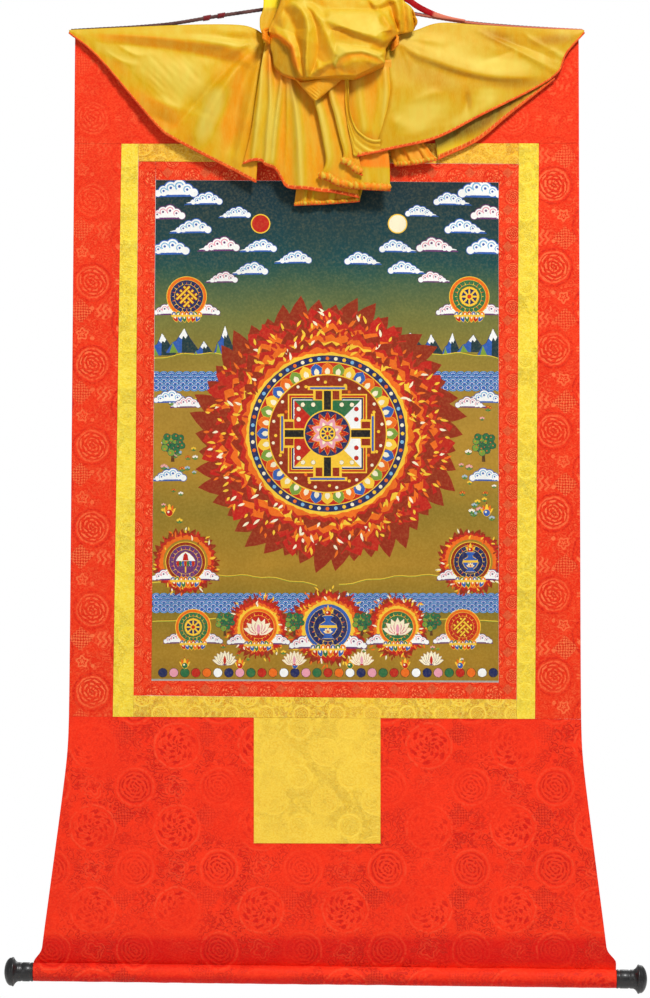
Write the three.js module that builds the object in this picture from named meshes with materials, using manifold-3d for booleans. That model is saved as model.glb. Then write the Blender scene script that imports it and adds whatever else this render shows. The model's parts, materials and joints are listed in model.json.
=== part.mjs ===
// A hanging scroll: a picture cloth in a sewn brocade mount, a satin veil gathered up over it,
// a weighted rod with turned knobs at the foot, and the cord that it hangs by.
// Millimetres, +Z up. The front faces -Y. The origin is the hang point, under the top of the cord.
import * as THREE from 'three';
import Module from 'manifold-3d';
import { mergeVertices } from 'three/addons/utils/BufferGeometryUtils.js';

const wasm = await Module();
wasm.setup();

// Cloth
const BROCADE = 1.2; // thickness of the mount's sheets
const SATIN = 1.4; // thickness of the veil
const SEAM = 0.3; // gap between neighbouring pieces
const THROUGH = 60; // how much longer than the cloth a cutting shape is

// The mount's nested rectangles, a little out of square. Each corner is [x, z].
const FRAME_OUTER = { tl: [-190, -131.4], tr: [194, -131], bl: [-198, -658.5], br: [190.5, -660.5] };
const FRAME_INNER = { tl: [-174.5, -147.6], tr: [175.5, -150], bl: [-179, -639], br: [173.5, -642.5] };
const PICTURE = { tl: [-158.5, -164.7], tr: [157, -167], bl: [-162.5, -625.3], br: [157, -627] };
const TOP_EDGE = -29.6; // top of the mount, behind the veil's top edge
const PATCH = { left: -68.3, right: 48.3, bottom: -775 };

// The mount's side edges: half width at the top, how much wider they are at the foot of the
// straight stretch, and the flare that starts below it.
const SIDES = {
  left: { sign: -1, top: 232.5, taper: 0.0085, flareFrom: -688, flare: 0.128 },
  right: { sign: 1, top: 230.5, taper: 0.003, flareFrom: -690, flare: 0.128 },
};
const FLARE_SOFTNESS = 22; // how gradually the flare begins
const WAVE = { height: 1.6, length: 236, phase: 0.7, from: -600 }; // slow swells of the loose skirt

// The rod in its sleeve. It hangs a little lower at the right.
const ROD = { radius: 7, y: 6, z: -897.2, tilt: 0.69 };
const SLEEVE = { radius: 8.5, left: -271.4, right: 265.4 };
const TURN_BACK = { from: -850, meets: 20 }; // the skirt curves back to meet the sleeve behind its top
const KNOB = { neck: 8.8, flange: 13.5, rim: 1.1, socket: 11, flare: 4.6, dome: 6.8 };
const KNOB_NECKS = { knob_left: 12.9, knob_right: 14.7 };

// Hanging cord and ribbon: the points [x, y, z] that they follow.
const CORD_RADIUS = 1.8;
const CORD_ROUTE = [
  [-236, 0, -27.4], [-212, 0, -26], [-180, 0, -24.2], [-152, 0, -21.9], [-136, 0, -19.8],
  [-113, 0, -15.9], [-99, 0, -13.6], [-76, 0, -10.2], [-49, 0, -6.2], [-25, 0, -2.2],
  [-8, 0, 0.9], [0, 0, 1.8], [8, 0, 0.9], [25, 0, -2.4], [49, 0, -6.6], [66, 0, -9.5],
  [81, 0, -12], [108, 0, -16.6], [135, 0, -20.6], [172, 0, -23.8], [204, 0, -25.8], [234, 0, -27.4],
];
const RIBBON = { width: 5.4, thickness: 1 };
const RIBBON_ROUTE = [
  [126, -2.8, -16.9], [112, -2.8, -14.4], [98, -2.6, -10.8], [89, 0.2, -6.6], [80, 3.6, -2.6],
  [70, 7, 1.6], [58, 7.4, 6], [46, 7.2, 9],
];

// The veil's edges as [x, z], from the left tip to the right tip.
const WING_LEFT_TOP = [[-238, -27], [-136, -22.4], [-86, -22.1], [-68, -25.6], [-57, -33]];
const WING_LEFT_HEM = [
  [-238, -29.5], [-210, -53], [-159, -113], [-139, -128.8], [-88.3, -155.5], [-66, -167.4],
];
const WING_RIGHT_TOP = [[61, -37], [80, -28.5], [103, -20.8], [140, -22.4], [198, -25.8], [235.5, -27]];
const WING_RIGHT_HEM = [
  [34, -143.6], [99.4, -127], [140.5, -105.8], [189.5, -81], [211, -66], [219, -48.4], [235.5, -29.4],
];
const WING = { top: -2.9, hem: -8, gather: -7 }; // y at the sewn top edge, and what the hem and gather add

// Main folds of the wings: a soft ridge from one point to another, or a trough where height is negative.
const FOLDS = [
  { x0: -205, z0: -35, x1: -75, z1: -42, reach: 11, height: 5 },
  { x0: -190, z0: -49, x1: -84, z1: -57, reach: 9, height: -3 },
  { x0: -60, z0: -38, x1: -130, z1: -107, reach: 8, height: 6 },
  { x0: -62, z0: -44, x1: -106, z1: -132, reach: 10, height: 5 },
  { x0: -60, z0: -42, x1: -80, z1: -150, reach: 6, height: -3 },
  { x0: 64, z0: -40, x1: 132, z1: -63, reach: 9, height: 6 },
  { x0: 132, z0: -63, x1: 200, z1: -69, reach: 9, height: 5 },
  { x0: 95, z0: -66, x1: 198, z1: -79, reach: 9, height: -3 },
  { x0: 56, z0: -48, x1: 54, z1: -122, reach: 7, height: 5 },
  { x0: 135, z0: -28, x1: 207, z1: -62, reach: 4, height: 2 },
];

// Layers that hang from the gather, front to back: their sides as x at the neck and at the foot,
// the foot's heights, how far forward they stand, and the pleats in them.
const NECK = { z: -44, y: -11.5, step: 0.4 }; // where they are gathered, one close behind another
const LAYERS = [
  { neck: [26, 64], foot: [12, 44], z: [-152, -165], y: -20, pleats: 3, depth: 2 },
  { neck: [4, 62], foot: [-9, 57], z: [-165, -175.5], y: -16, pleats: 5, depth: 2.4 },
  { neck: [-62, 56], foot: [-78, 30], z: [-148, -183], y: -11.5, pleats: 8, depth: 4.2 },
  { neck: [-20, 50], foot: [-31, 30], z: [-187, -186], y: -5.6, pleats: 4, depth: 1 },
  { neck: [50, 66], foot: [62, 99], z: [-145, -152], y: -9.6, pleats: 2, depth: 1.2 },
];
// The cloth doubled back behind the right wing: its lower edge as [x, z], and how far forward it stands.
const UNDER_EDGE = [[102, -146], [137, -128.8], [165, -106], [208, -72]];
const UNDER = { y: -5.2, leavesWingAt: 0.3 };

// The bundle: stations along its middle, from the tail behind the cord over the crown and down the
// front to the lip that tucks under. left and right are its sides, y and z the middle of its
// back-to-front line, and edge is y at the sides.
const BUNDLE = [
  { left: -40, right: 54, y: 5, z: -20, edge: 5 },
  { left: -44, right: 57, y: 6.5, z: -4, edge: 5 },
  { left: -48, right: 60, y: 4, z: 12, edge: 4 },
  { left: -54, right: 64, y: -8, z: 18, edge: -3 },
  { left: -60, right: 66, y: -22, z: 14, edge: -7 },
  { left: -64, right: 74, y: -34, z: 2, edge: -9 },
  { left: -63, right: 80, y: -41, z: -14, edge: -11 },
  { left: -60, right: 76, y: -45, z: -30, edge: -13 },
  { left: -55, right: 62, y: -47, z: -46, edge: -15 },
  { left: -51, right: 53, y: -46, z: -60, edge: -17 },
  { left: -46, right: 50, y: -40, z: -71, edge: -18 },
  { left: -42, right: 47, y: -31, z: -73, edge: -18 },
  { left: -40, right: 45, y: -22, z: -69, edge: -17 },
];
const BUNDLE_SHOULDER = 9; // how much lower the bundle's crown is at its sides
const BUNDLE_FOLDS = [
  { x0: -26, z0: 4, x1: -19, z1: -68, reach: 7, height: 5 },
  { x0: -40, z0: -10, x1: -30, z1: -60, reach: 6, height: -4 },
  { x0: 8, z0: -52, x1: 46, z1: -52, reach: 7, height: 4 },
  { x0: 2, z0: -12, x1: 44, z1: -30, reach: 12, height: 4 },
  { x0: 58, z0: 0, x1: 66, z1: -30, reach: 5, height: -4 },
];
// The pointed fold that shows under the lip.
const TIP = { neck: [-33, 17], foot: [-15, -9], z: [-95, -95], y: -25, pleats: 2, depth: 0.8 };

const clamp = THREE.MathUtils.clamp;
const lerp = THREE.MathUtils.lerp;

// A sheet of even thickness about surface(u, v), closed at its edges. u runs right and v runs down.
function sheet(surface, columns, rows, thickness) {
  const positions = [];
  const index = [];
  const step = 0.01;
  const corner = (side, i, j) => (side * (rows + 1) + j) * (columns + 1) + i;
  for (const side of [-0.5, 0.5]) {
    for (let j = 0; j <= rows; j++) {
      for (let i = 0; i <= columns; i++) {
        const u = i / columns;
        const v = j / rows;
        const across = surface(Math.min(1, u + step), v).sub(surface(Math.max(0, u - step), v));
        const down = surface(u, Math.min(1, v + step)).sub(surface(u, Math.max(0, v - step)));
        const outward = across.cross(down).normalize().multiplyScalar(side * thickness);
        positions.push(...surface(u, v).add(outward).toArray());
      }
    }
  }
  for (let j = 0; j < rows; j++) {
    for (let i = 0; i < columns; i++) {
      const [a, b, c, d] = [[i, j], [i + 1, j], [i, j + 1], [i + 1, j + 1]];
      index.push(corner(1, ...a), corner(1, ...b), corner(1, ...c));
      index.push(corner(1, ...b), corner(1, ...d), corner(1, ...c));
      index.push(corner(0, ...a), corner(0, ...c), corner(0, ...b));
      index.push(corner(0, ...b), corner(0, ...c), corner(0, ...d));
    }
  }
  const wall = (p, q) => {
    index.push(corner(1, ...q), corner(1, ...p), corner(0, ...p));
    index.push(corner(1, ...q), corner(0, ...p), corner(0, ...q));
  };
  for (let i = 0; i < columns; i++) {
    wall([i, 0], [i + 1, 0]);
    wall([i + 1, rows], [i, rows]);
  }
  for (let j = 0; j < rows; j++) {
    wall([0, j + 1], [0, j]);
    wall([columns, j], [columns, j + 1]);
  }
  const geometry = new THREE.BufferGeometry();
  geometry.setAttribute('position', new THREE.Float32BufferAttribute(positions, 3));
  geometry.setIndex(index);
  return geometry;
}

function toSolid(geometry) {
  const bare = geometry.clone();
  bare.deleteAttribute('normal');
  bare.deleteAttribute('uv');
  const merged = mergeVertices(bare, 1e-4);
  const vertProperties = new Float32Array(merged.attributes.position.array);
  const triVerts = new Uint32Array(merged.index.array);
  return new wasm.Manifold(new wasm.Mesh({ numProp: 3, vertProperties, triVerts }));
}

function toGeometry(solid) {
  const { vertProperties, triVerts } = solid.getMesh();
  const geometry = new THREE.BufferGeometry();
  geometry.setAttribute('position', new THREE.BufferAttribute(vertProperties, 3));
  geometry.setIndex(new THREE.BufferAttribute(triVerts, 1));
  return geometry;
}

// The x of a side edge of the mount at height z.
function sideEdge({ sign, top, taper, flareFrom, flare }, z) {
  const below = flareFrom - z;
  const eased = (below + Math.hypot(below, FLARE_SOFTNESS)) / 2;
  return sign * (top + taper * (TOP_EDGE - z) + flare * eased);
}

// The height at x of the seam line that runs on through the frame's two corners.
const seamLine = (left, right) => (x) => THREE.MathUtils.mapLinear(x, left[0], right[0], left[1], right[1]);
const TOP_SEAM = seamLine(FRAME_OUTER.tl, FRAME_OUTER.tr);
const FOOT_SEAM = seamLine(FRAME_OUTER.bl, FRAME_OUTER.br);

const rodHeight = (x) => ROD.z - x * Math.tan(THREE.MathUtils.degToRad(ROD.tilt));

// How far back the mount's cloth lies at (x, z): flat, with slow swells in the skirt, then turned
// back to the sleeve.
function hang(x, z) {
  const foot = rodHeight(x) + SLEEVE.radius;
  const loose = clamp((z - WAVE.from) / (foot - WAVE.from), 0, 1);
  const swell = -WAVE.height * Math.sin((2 * Math.PI * x) / WAVE.length + WAVE.phase);
  const turned = clamp((TURN_BACK.from - z) / (TURN_BACK.from - foot), 0, 1.1);
  const meets = THREE.MathUtils.degToRad(TURN_BACK.meets);
  const reach = ROD.y + (SLEEVE.radius - BROCADE / 2) * Math.sin(meets);
  return swell * Math.sin(Math.PI * loose) ** 2 + reach * turned ** 2;
}

// A flat piece of the mount between its left and right edges, each a function of v that gives [x, z].
function mountSheet(leftAt, rightAt, columns, rows) {
  const surface = (u, v) => {
    const [x0, z0] = leftAt(v);
    const [x1, z1] = rightAt(v);
    const x = lerp(x0, x1, u);
    const z = lerp(z0, z1, u);
    return new THREE.Vector3(x, hang(x, z), z);
  };
  return sheet(surface, columns, rows, BROCADE);
}

const straight = (from, to) => (v) => [lerp(from[0], to[0], v), lerp(from[1], to[1], v)];

// A four-cornered piece of the mount, drawn in by half a seam on every side.
function quadSheet(tl, tr, bl, br, columns, rows) {
  const s = SEAM / 2;
  const left = straight([tl[0] + s, tl[1] - s], [bl[0] + s, bl[1] + s]);
  const right = straight([tr[0] - s, tr[1] - s], [br[0] - s, br[1] + s]);
  return mountSheet(left, right, columns, rows);
}

// The four strips between two nested rectangles: side strips full height, the others between them.
function stripsBetween(outer, inner) {
  const at = (x, z) => [x[0], z[1]];
  const innerTop = { l: at(inner.tl, outer.tl), r: at(inner.tr, outer.tr) };
  const innerFoot = { l: at(inner.bl, outer.bl), r: at(inner.br, outer.br) };
  return {
    left: quadSheet(outer.tl, innerTop.l, outer.bl, innerFoot.l, 1, 12),
    right: quadSheet(innerTop.r, outer.tr, innerFoot.r, outer.br, 1, 12),
    top: quadSheet(innerTop.l, innerTop.r, inner.tl, inner.tr, 10, 1),
    bottom: quadSheet(inner.bl, inner.br, innerFoot.l, innerFoot.r, 10, 1),
  };
}

function groundTop() {
  const s = SEAM / 2;
  const edge = (side) => (v) => {
    const z = lerp(TOP_EDGE, TOP_SEAM(side.sign * side.top) + s, v);
    return [sideEdge(side, z), z];
  };
  return mountSheet(edge(SIDES.left), edge(SIDES.right), 12, 3);
}

function groundSide(side, top, bottom) {
  const s = SEAM / 2;
  const outer = (v) => {
    const x = side.sign * side.top;
    const z = lerp(TOP_SEAM(x) - s, FOOT_SEAM(x) + s, v);
    return [sideEdge(side, z), z];
  };
  const inner = straight([top[0] + side.sign * s, top[1] - s], [bottom[0] + side.sign * s, bottom[1] + s]);
  return side.sign < 0 ? mountSheet(outer, inner, 1, 12) : mountSheet(inner, outer, 1, 12);
}

function doorPatch() {
  const { left, right, bottom } = PATCH;
  return quadSheet([left, FOOT_SEAM(left)], [right, FOOT_SEAM(right)], [left, bottom], [right, bottom], 4, 4);
}

// Turns a shape made about the Y axis to lie along the rod, with its own x = 0 at the rod's middle.
function alongRod(geometry) {
  geometry.rotateZ(-Math.PI / 2);
  geometry.rotateY(THREE.MathUtils.degToRad(ROD.tilt));
  geometry.translate(0, ROD.y, ROD.z);
  return geometry;
}

function turned(profile, segments) {
  return new THREE.LatheGeometry(profile.map(([r, h]) => new THREE.Vector2(r, h)), segments);
}

// The skirt: one cloth that flares, turns back at the foot and is sewn round the rod as a sleeve.
function groundSkirt() {
  const s = SEAM / 2;
  const meets = THREE.MathUtils.degToRad(TURN_BACK.meets);
  const edge = (side) => (v) => {
    const foot = rodHeight(sideEdge(side, ROD.z)) + (SLEEVE.radius - BROCADE / 2) * Math.cos(meets);
    const z = lerp(FOOT_SEAM(side.sign * side.top) - s, foot, v);
    return [sideEdge(side, z), z];
  };
  const cloth = mountSheet(edge(SIDES.left), edge(SIDES.right), 14, 16);
  const bore = SLEEVE.radius - BROCADE;
  const { radius, left, right } = SLEEVE;
  const ring = [[bore, left], [radius, left], [radius, right], [bore, right], [bore, left]];
  const [notchTop, notchFoot] = [FRAME_INNER.bl[1], PATCH.bottom - s];
  const notch = new THREE.BoxGeometry(PATCH.right - PATCH.left + SEAM, THROUGH, notchTop - notchFoot);
  notch.translate((PATCH.left + PATCH.right) / 2, 0, (notchTop + notchFoot) / 2);
  const channel = new THREE.CylinderGeometry(bore, bore, right - left + THROUGH, 28);
  const sleeve = toSolid(alongRod(turned(ring, 28)));
  const skirt = toSolid(cloth).subtract(toSolid(notch)).subtract(toSolid(alongRod(channel))).add(sleeve);
  return toGeometry(skirt);
}

function weightRod() {
  const length = SLEEVE.right - SLEEVE.left + 2 * KNOB.socket;
  const rod = new THREE.CylinderGeometry(ROD.radius, ROD.radius, length, 32);
  rod.translate(0, (SLEEVE.right + SLEEVE.left) / 2, 0);
  return alongRod(rod);
}

// A turned knob with a socket that fits over the rod's end. sign is -1 at the left end.
function knob(sign, neckLength) {
  const start = (sign < 0 ? -SLEEVE.left : SLEEVE.right) + SEAM;
  const { neck, flange, rim, socket, flare, dome } = KNOB;
  const bore = ROD.radius + SEAM;
  const shoulder = start + neckLength;
  const profile = [[0, start + socket], [bore, start + socket], [bore, start]];
  profile.push([neck, start], [neck, shoulder]);
  for (const t of [0.35, 0.7, 1]) {
    profile.push([lerp(neck, flange - rim, t ** 2), shoulder + flare * t]);
  }
  const crown = shoulder + flare + 2 * rim;
  profile.push([flange, crown - rim], [flange, crown]);
  for (const angle of [25, 45, 65, 80]) {
    const a = THREE.MathUtils.degToRad(angle);
    profile.push([flange * Math.cos(a), crown + dome * Math.sin(a)]);
  }
  profile.push([0, crown + dome]);
  const shape = turned(profile, 28);
  if (sign < 0) {
    shape.rotateX(Math.PI);
  }
  return alongRod(shape);
}

const toVectors = (points) => points.map(([x, y, z]) => new THREE.Vector3(x, y, z));

// A solid of the given section swept along a route, kept upright.
function swept(outline, route, steps) {
  const path = new THREE.CatmullRomCurve3(toVectors(route));
  return new THREE.ExtrudeGeometry(outline, { steps, bevelEnabled: false, extrudePath: path });
}

function hangingCord() {
  const section = new THREE.Shape();
  for (let i = 0; i < 8; i++) {
    const a = (i * Math.PI) / 4;
    section[i ? 'lineTo' : 'moveTo'](CORD_RADIUS * Math.cos(a), CORD_RADIUS * Math.sin(a));
  }
  return swept(section, CORD_ROUTE, 60);
}

// The ribbon keeps its width upright all along its route.
function tieRibbon() {
  const path = new THREE.CatmullRomCurve3(toVectors(RIBBON_ROUTE).reverse());
  const surface = (u, v) => {
    const ahead = path.getTangent(u).cross(new THREE.Vector3(0, 1, 0)).normalize();
    return path.getPoint(u).addScaledVector(ahead, (0.5 - v) * -RIBBON.width);
  };
  return sheet(surface, 20, 2, RIBBON.thickness);
}

// The point at fraction t of the length of a line through [x, z] points.
function pointOn(line, t) {
  const lengths = line.slice(1).map(([x, z], i) => Math.hypot(x - line[i][0], z - line[i][1]));
  let rest = t * lengths.reduce((sum, length) => sum + length, 0);
  let i = 0;
  while (i < lengths.length - 1 && rest > lengths[i]) {
    rest -= lengths[i];
    i += 1;
  }
  const part = rest / lengths[i];
  return [lerp(line[i][0], line[i + 1][0], part), lerp(line[i][1], line[i + 1][1], part)];
}

// How far the folds lift the cloth forward at (x, z).
function lift(folds, x, z) {
  let total = 0;
  for (const { x0, z0, x1, z1, reach, height } of folds) {
    const [dx, dz] = [x1 - x0, z1 - z0];
    const t = clamp(((x - x0) * dx + (z - z0) * dz) / (dx * dx + dz * dz), 0, 1);
    const off = Math.hypot(x - x0 - t * dx, z - z0 - t * dz) / reach;
    total += height * Math.exp(-off * off);
  }
  return total;
}

// A wing of the veil between its sewn top edge and its hem. gatherAt is the u of the gathered end.
function wingSurface(top, hem, gatherAt) {
  return (u, v) => {
    const [x0, z0] = pointOn(top, u);
    const [x1, z1] = pointOn(hem, u);
    const x = lerp(x0, x1, v);
    const z = lerp(z0, z1, v);
    const near = 1 - Math.abs(u - gatherAt);
    const free = Math.sin((Math.PI / 2) * clamp(v * 1.6, 0, 1));
    const y = WING.top + WING.hem * free * Math.sqrt(near) + WING.gather * near ** 4;
    const folded = clamp(v * 6, 0, 1) * clamp((1 - near) * 0.4 + near * 1.2, 0, 1);
    return new THREE.Vector3(x, y - lift(FOLDS, x, z) * folded * near ** 0.3, z);
  };
}

// The layer behind the right wing, which leaves the wing's cloth part of the way down.
function underLayer(wing) {
  const surface = (u, v) => {
    const start = wing(lerp(0.12, 0.86, u), UNDER.leavesWingAt);
    const [x, z] = pointOn(UNDER_EDGE, u);
    return start.lerp(new THREE.Vector3(x, UNDER.y, z), v);
  };
  return sheet(surface, 14, 4, SATIN);
}

// One pleated layer that hangs from the gather.
function layer({ neck, foot, z, y, pleats, depth }, place) {
  const surface = (u, v) => {
    const pleat = depth * Math.cos(2 * Math.PI * pleats * u) * v;
    const x = lerp(lerp(neck[0], neck[1], u), lerp(foot[0], foot[1], u), v);
    const back = lerp(NECK.y + place * NECK.step, y, Math.min(1, v * 1.5));
    return new THREE.Vector3(x, back + pleat, lerp(NECK.z, lerp(z[0], z[1], u), v));
  };
  return sheet(surface, pleats * 4, 3, SATIN);
}

// The gathered bundle: cloth thrown over the cord from behind, full in front, with its lip tucked under.
function bundle() {
  const station = (v, key) => {
    const at = v * (BUNDLE.length - 1);
    const i = Math.min(Math.floor(at), BUNDLE.length - 2);
    return lerp(BUNDLE[i][key], BUNDLE[i + 1][key], at - i);
  };
  const surface = (u, v) => {
    const across = Math.sin(Math.PI * u) ** 0.7;
    const x = lerp(station(v, 'left'), station(v, 'right'), u);
    const crown = clamp(1 - Math.abs(v - 0.27) / 0.25, 0, 1);
    const z = station(v, 'z') - BUNDLE_SHOULDER * crown * (1 - across);
    const front = clamp((v - 0.35) * 4, 0, 1) * clamp((0.95 - v) * 8, 0, 1) * across;
    const y = lerp(station(v, 'edge'), station(v, 'y'), across) - lift(BUNDLE_FOLDS, x, z) * front;
    return new THREE.Vector3(x, y, z);
  };
  return sheet(surface, 16, 18, SATIN);
}

function veil() {
  const leftWing = wingSurface(WING_LEFT_TOP, WING_LEFT_HEM, 1);
  const rightWing = wingSurface(WING_RIGHT_TOP, WING_RIGHT_HEM, 0);
  const parts = [
    sheet(leftWing, 22, 7, SATIN),
    sheet(rightWing, 22, 7, SATIN),
    underLayer(rightWing),
    bundle(),
    ...[TIP, ...LAYERS].map(layer),
  ];
  const joined = parts.map(toSolid).reduce((all, next) => all.add(next));
  // The outer skin alone: slits closed in between touching layers are filled with cloth.
  const skins = joined.decompose().sort((a, b) => b.volume() - a.volume());
  return toGeometry(skins[0]);
}

const MATERIALS = {
  redBrocade: { color: 0xf03c20, roughness: 0.7, metalness: 0 },
  yellowBrocade: { color: 0xf6d13c, roughness: 0.65, metalness: 0 },
  picture: { color: 0x6e6430, roughness: 0.6, metalness: 0 },
  blackWood: { color: 0x141416, roughness: 0.35, metalness: 0 },
  rodWood: { color: 0x9a7a52, roughness: 0.7, metalness: 0 },
  satin: { color: 0xe8b828, roughness: 0.35, metalness: 0 },
  cord: { color: 0x4a2f33, roughness: 0.8, metalness: 0 },
  ribbon: { color: 0xb8122c, roughness: 0.5, metalness: 0 },
};

const scroll = new THREE.Group();

function place(name, geometry, material) {
  const mesh = new THREE.Mesh(geometry, new THREE.MeshStandardMaterial(MATERIALS[material]));
  mesh.name = name;
  scroll.add(mesh);
}

place('ground_top', groundTop(), 'redBrocade');
place('ground_left', groundSide(SIDES.left, FRAME_OUTER.tl, FRAME_OUTER.bl), 'redBrocade');
place('ground_right', groundSide(SIDES.right, FRAME_OUTER.tr, FRAME_OUTER.br), 'redBrocade');
place('ground_skirt', groundSkirt(), 'redBrocade');
for (const [side, strip] of Object.entries(stripsBetween(FRAME_OUTER, FRAME_INNER))) {
  place(`frame_${side}`, strip, 'yellowBrocade');
}
for (const [side, strip] of Object.entries(stripsBetween(FRAME_INNER, PICTURE))) {
  place(`border_${side}`, strip, 'redBrocade');
}
place('picture_panel', quadSheet(PICTURE.tl, PICTURE.tr, PICTURE.bl, PICTURE.br, 4, 8), 'picture');
place('door_patch', doorPatch(), 'yellowBrocade');
place('weight_rod', weightRod(), 'rodWood');
place('knob_left', knob(-1, KNOB_NECKS.knob_left), 'blackWood');
place('knob_right', knob(1, KNOB_NECKS.knob_right), 'blackWood');
place('veil', veil(), 'satin');
place('hanging_cord', hangingCord(), 'cord');
place('tie_ribbon', tieRibbon(), 'ribbon');

export default scroll;
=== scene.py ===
"""A hanging scroll in Blender: a picture cloth in a sewn brocade mount, with a gathered satin veil,
a weighted rod with turned knobs, and the cord that it hangs by.

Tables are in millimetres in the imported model's frame: +Z up, the front facing -Y, and the hang point at
the origin.
"""

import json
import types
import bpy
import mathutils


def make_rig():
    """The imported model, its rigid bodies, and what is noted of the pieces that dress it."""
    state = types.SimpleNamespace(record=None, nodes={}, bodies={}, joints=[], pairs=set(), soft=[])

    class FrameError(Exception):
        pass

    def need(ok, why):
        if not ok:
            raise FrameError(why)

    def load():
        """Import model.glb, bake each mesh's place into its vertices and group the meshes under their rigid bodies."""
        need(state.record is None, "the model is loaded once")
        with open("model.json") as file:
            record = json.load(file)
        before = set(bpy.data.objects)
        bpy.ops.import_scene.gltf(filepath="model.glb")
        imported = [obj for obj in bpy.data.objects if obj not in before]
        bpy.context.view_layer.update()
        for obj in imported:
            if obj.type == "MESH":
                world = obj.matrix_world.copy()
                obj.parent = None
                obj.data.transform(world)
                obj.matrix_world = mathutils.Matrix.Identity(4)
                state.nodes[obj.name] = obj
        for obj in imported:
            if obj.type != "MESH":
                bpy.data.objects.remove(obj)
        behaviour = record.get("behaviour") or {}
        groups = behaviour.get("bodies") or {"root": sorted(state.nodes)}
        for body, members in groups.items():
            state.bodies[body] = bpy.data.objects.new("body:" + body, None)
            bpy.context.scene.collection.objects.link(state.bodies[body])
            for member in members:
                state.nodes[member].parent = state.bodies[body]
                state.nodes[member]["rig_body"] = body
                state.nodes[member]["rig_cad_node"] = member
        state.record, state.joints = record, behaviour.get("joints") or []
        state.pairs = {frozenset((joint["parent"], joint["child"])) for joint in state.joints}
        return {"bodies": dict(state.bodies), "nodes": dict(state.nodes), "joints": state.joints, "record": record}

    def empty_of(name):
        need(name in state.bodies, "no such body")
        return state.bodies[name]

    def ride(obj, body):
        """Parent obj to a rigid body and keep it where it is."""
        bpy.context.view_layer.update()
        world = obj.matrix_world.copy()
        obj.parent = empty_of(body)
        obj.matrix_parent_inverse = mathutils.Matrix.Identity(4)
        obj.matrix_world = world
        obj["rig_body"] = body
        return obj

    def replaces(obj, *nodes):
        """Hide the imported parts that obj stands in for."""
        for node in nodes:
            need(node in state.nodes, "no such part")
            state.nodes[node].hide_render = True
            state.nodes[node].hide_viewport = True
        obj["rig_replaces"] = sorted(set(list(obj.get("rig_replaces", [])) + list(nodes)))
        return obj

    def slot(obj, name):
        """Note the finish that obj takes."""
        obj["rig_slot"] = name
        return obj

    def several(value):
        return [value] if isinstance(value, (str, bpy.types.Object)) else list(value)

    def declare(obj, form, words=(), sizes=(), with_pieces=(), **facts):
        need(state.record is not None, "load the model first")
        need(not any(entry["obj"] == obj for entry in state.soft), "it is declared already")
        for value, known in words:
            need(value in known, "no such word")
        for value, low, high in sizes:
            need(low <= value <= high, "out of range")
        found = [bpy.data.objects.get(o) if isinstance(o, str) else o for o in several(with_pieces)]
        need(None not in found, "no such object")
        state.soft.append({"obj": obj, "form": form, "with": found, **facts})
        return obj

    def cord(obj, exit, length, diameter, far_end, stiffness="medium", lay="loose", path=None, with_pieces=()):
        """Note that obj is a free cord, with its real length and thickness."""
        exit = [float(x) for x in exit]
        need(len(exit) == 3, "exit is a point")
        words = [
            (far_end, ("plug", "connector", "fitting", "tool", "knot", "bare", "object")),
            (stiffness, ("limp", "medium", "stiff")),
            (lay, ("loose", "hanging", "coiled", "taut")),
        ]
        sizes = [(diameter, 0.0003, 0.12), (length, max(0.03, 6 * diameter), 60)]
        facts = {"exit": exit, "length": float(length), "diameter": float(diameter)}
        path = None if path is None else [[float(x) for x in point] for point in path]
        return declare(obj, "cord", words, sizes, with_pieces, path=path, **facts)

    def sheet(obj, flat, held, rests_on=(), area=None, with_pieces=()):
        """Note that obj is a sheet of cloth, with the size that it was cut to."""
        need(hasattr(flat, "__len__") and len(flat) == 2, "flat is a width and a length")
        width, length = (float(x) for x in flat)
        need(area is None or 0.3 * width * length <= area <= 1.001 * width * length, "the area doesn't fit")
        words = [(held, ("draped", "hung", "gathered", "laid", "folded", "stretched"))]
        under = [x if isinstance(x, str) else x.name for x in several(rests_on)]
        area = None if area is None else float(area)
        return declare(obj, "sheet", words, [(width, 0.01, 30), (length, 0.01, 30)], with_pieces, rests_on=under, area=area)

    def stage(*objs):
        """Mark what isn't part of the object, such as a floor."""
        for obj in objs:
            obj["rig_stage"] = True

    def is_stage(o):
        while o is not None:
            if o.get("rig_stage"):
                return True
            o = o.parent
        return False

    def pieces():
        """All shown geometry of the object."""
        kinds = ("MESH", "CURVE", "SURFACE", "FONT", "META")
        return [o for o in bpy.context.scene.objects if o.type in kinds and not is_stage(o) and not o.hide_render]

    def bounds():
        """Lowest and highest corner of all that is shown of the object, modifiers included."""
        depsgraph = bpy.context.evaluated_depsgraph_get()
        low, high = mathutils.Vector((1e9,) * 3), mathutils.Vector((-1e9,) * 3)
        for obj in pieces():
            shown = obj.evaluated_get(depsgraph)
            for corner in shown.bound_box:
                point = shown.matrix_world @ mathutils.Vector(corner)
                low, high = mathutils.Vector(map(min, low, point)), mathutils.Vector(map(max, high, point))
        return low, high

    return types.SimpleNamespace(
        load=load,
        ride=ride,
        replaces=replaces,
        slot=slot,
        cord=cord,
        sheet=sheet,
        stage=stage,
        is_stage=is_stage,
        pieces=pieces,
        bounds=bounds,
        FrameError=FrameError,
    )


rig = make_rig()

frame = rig.load()

import json
import math
from functools import reduce

import bpy
import numpy as np
from mathutils import Vector
from mathutils.geometry import delaunay_2d_cdt

CAD_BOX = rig.bounds()
MM = 0.001
TURN = 2 * math.pi


def linked(name, data):
    """A new object in the scene."""
    made = bpy.data.objects.new(name, data)
    bpy.context.scene.collection.objects.link(made)
    return made


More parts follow.
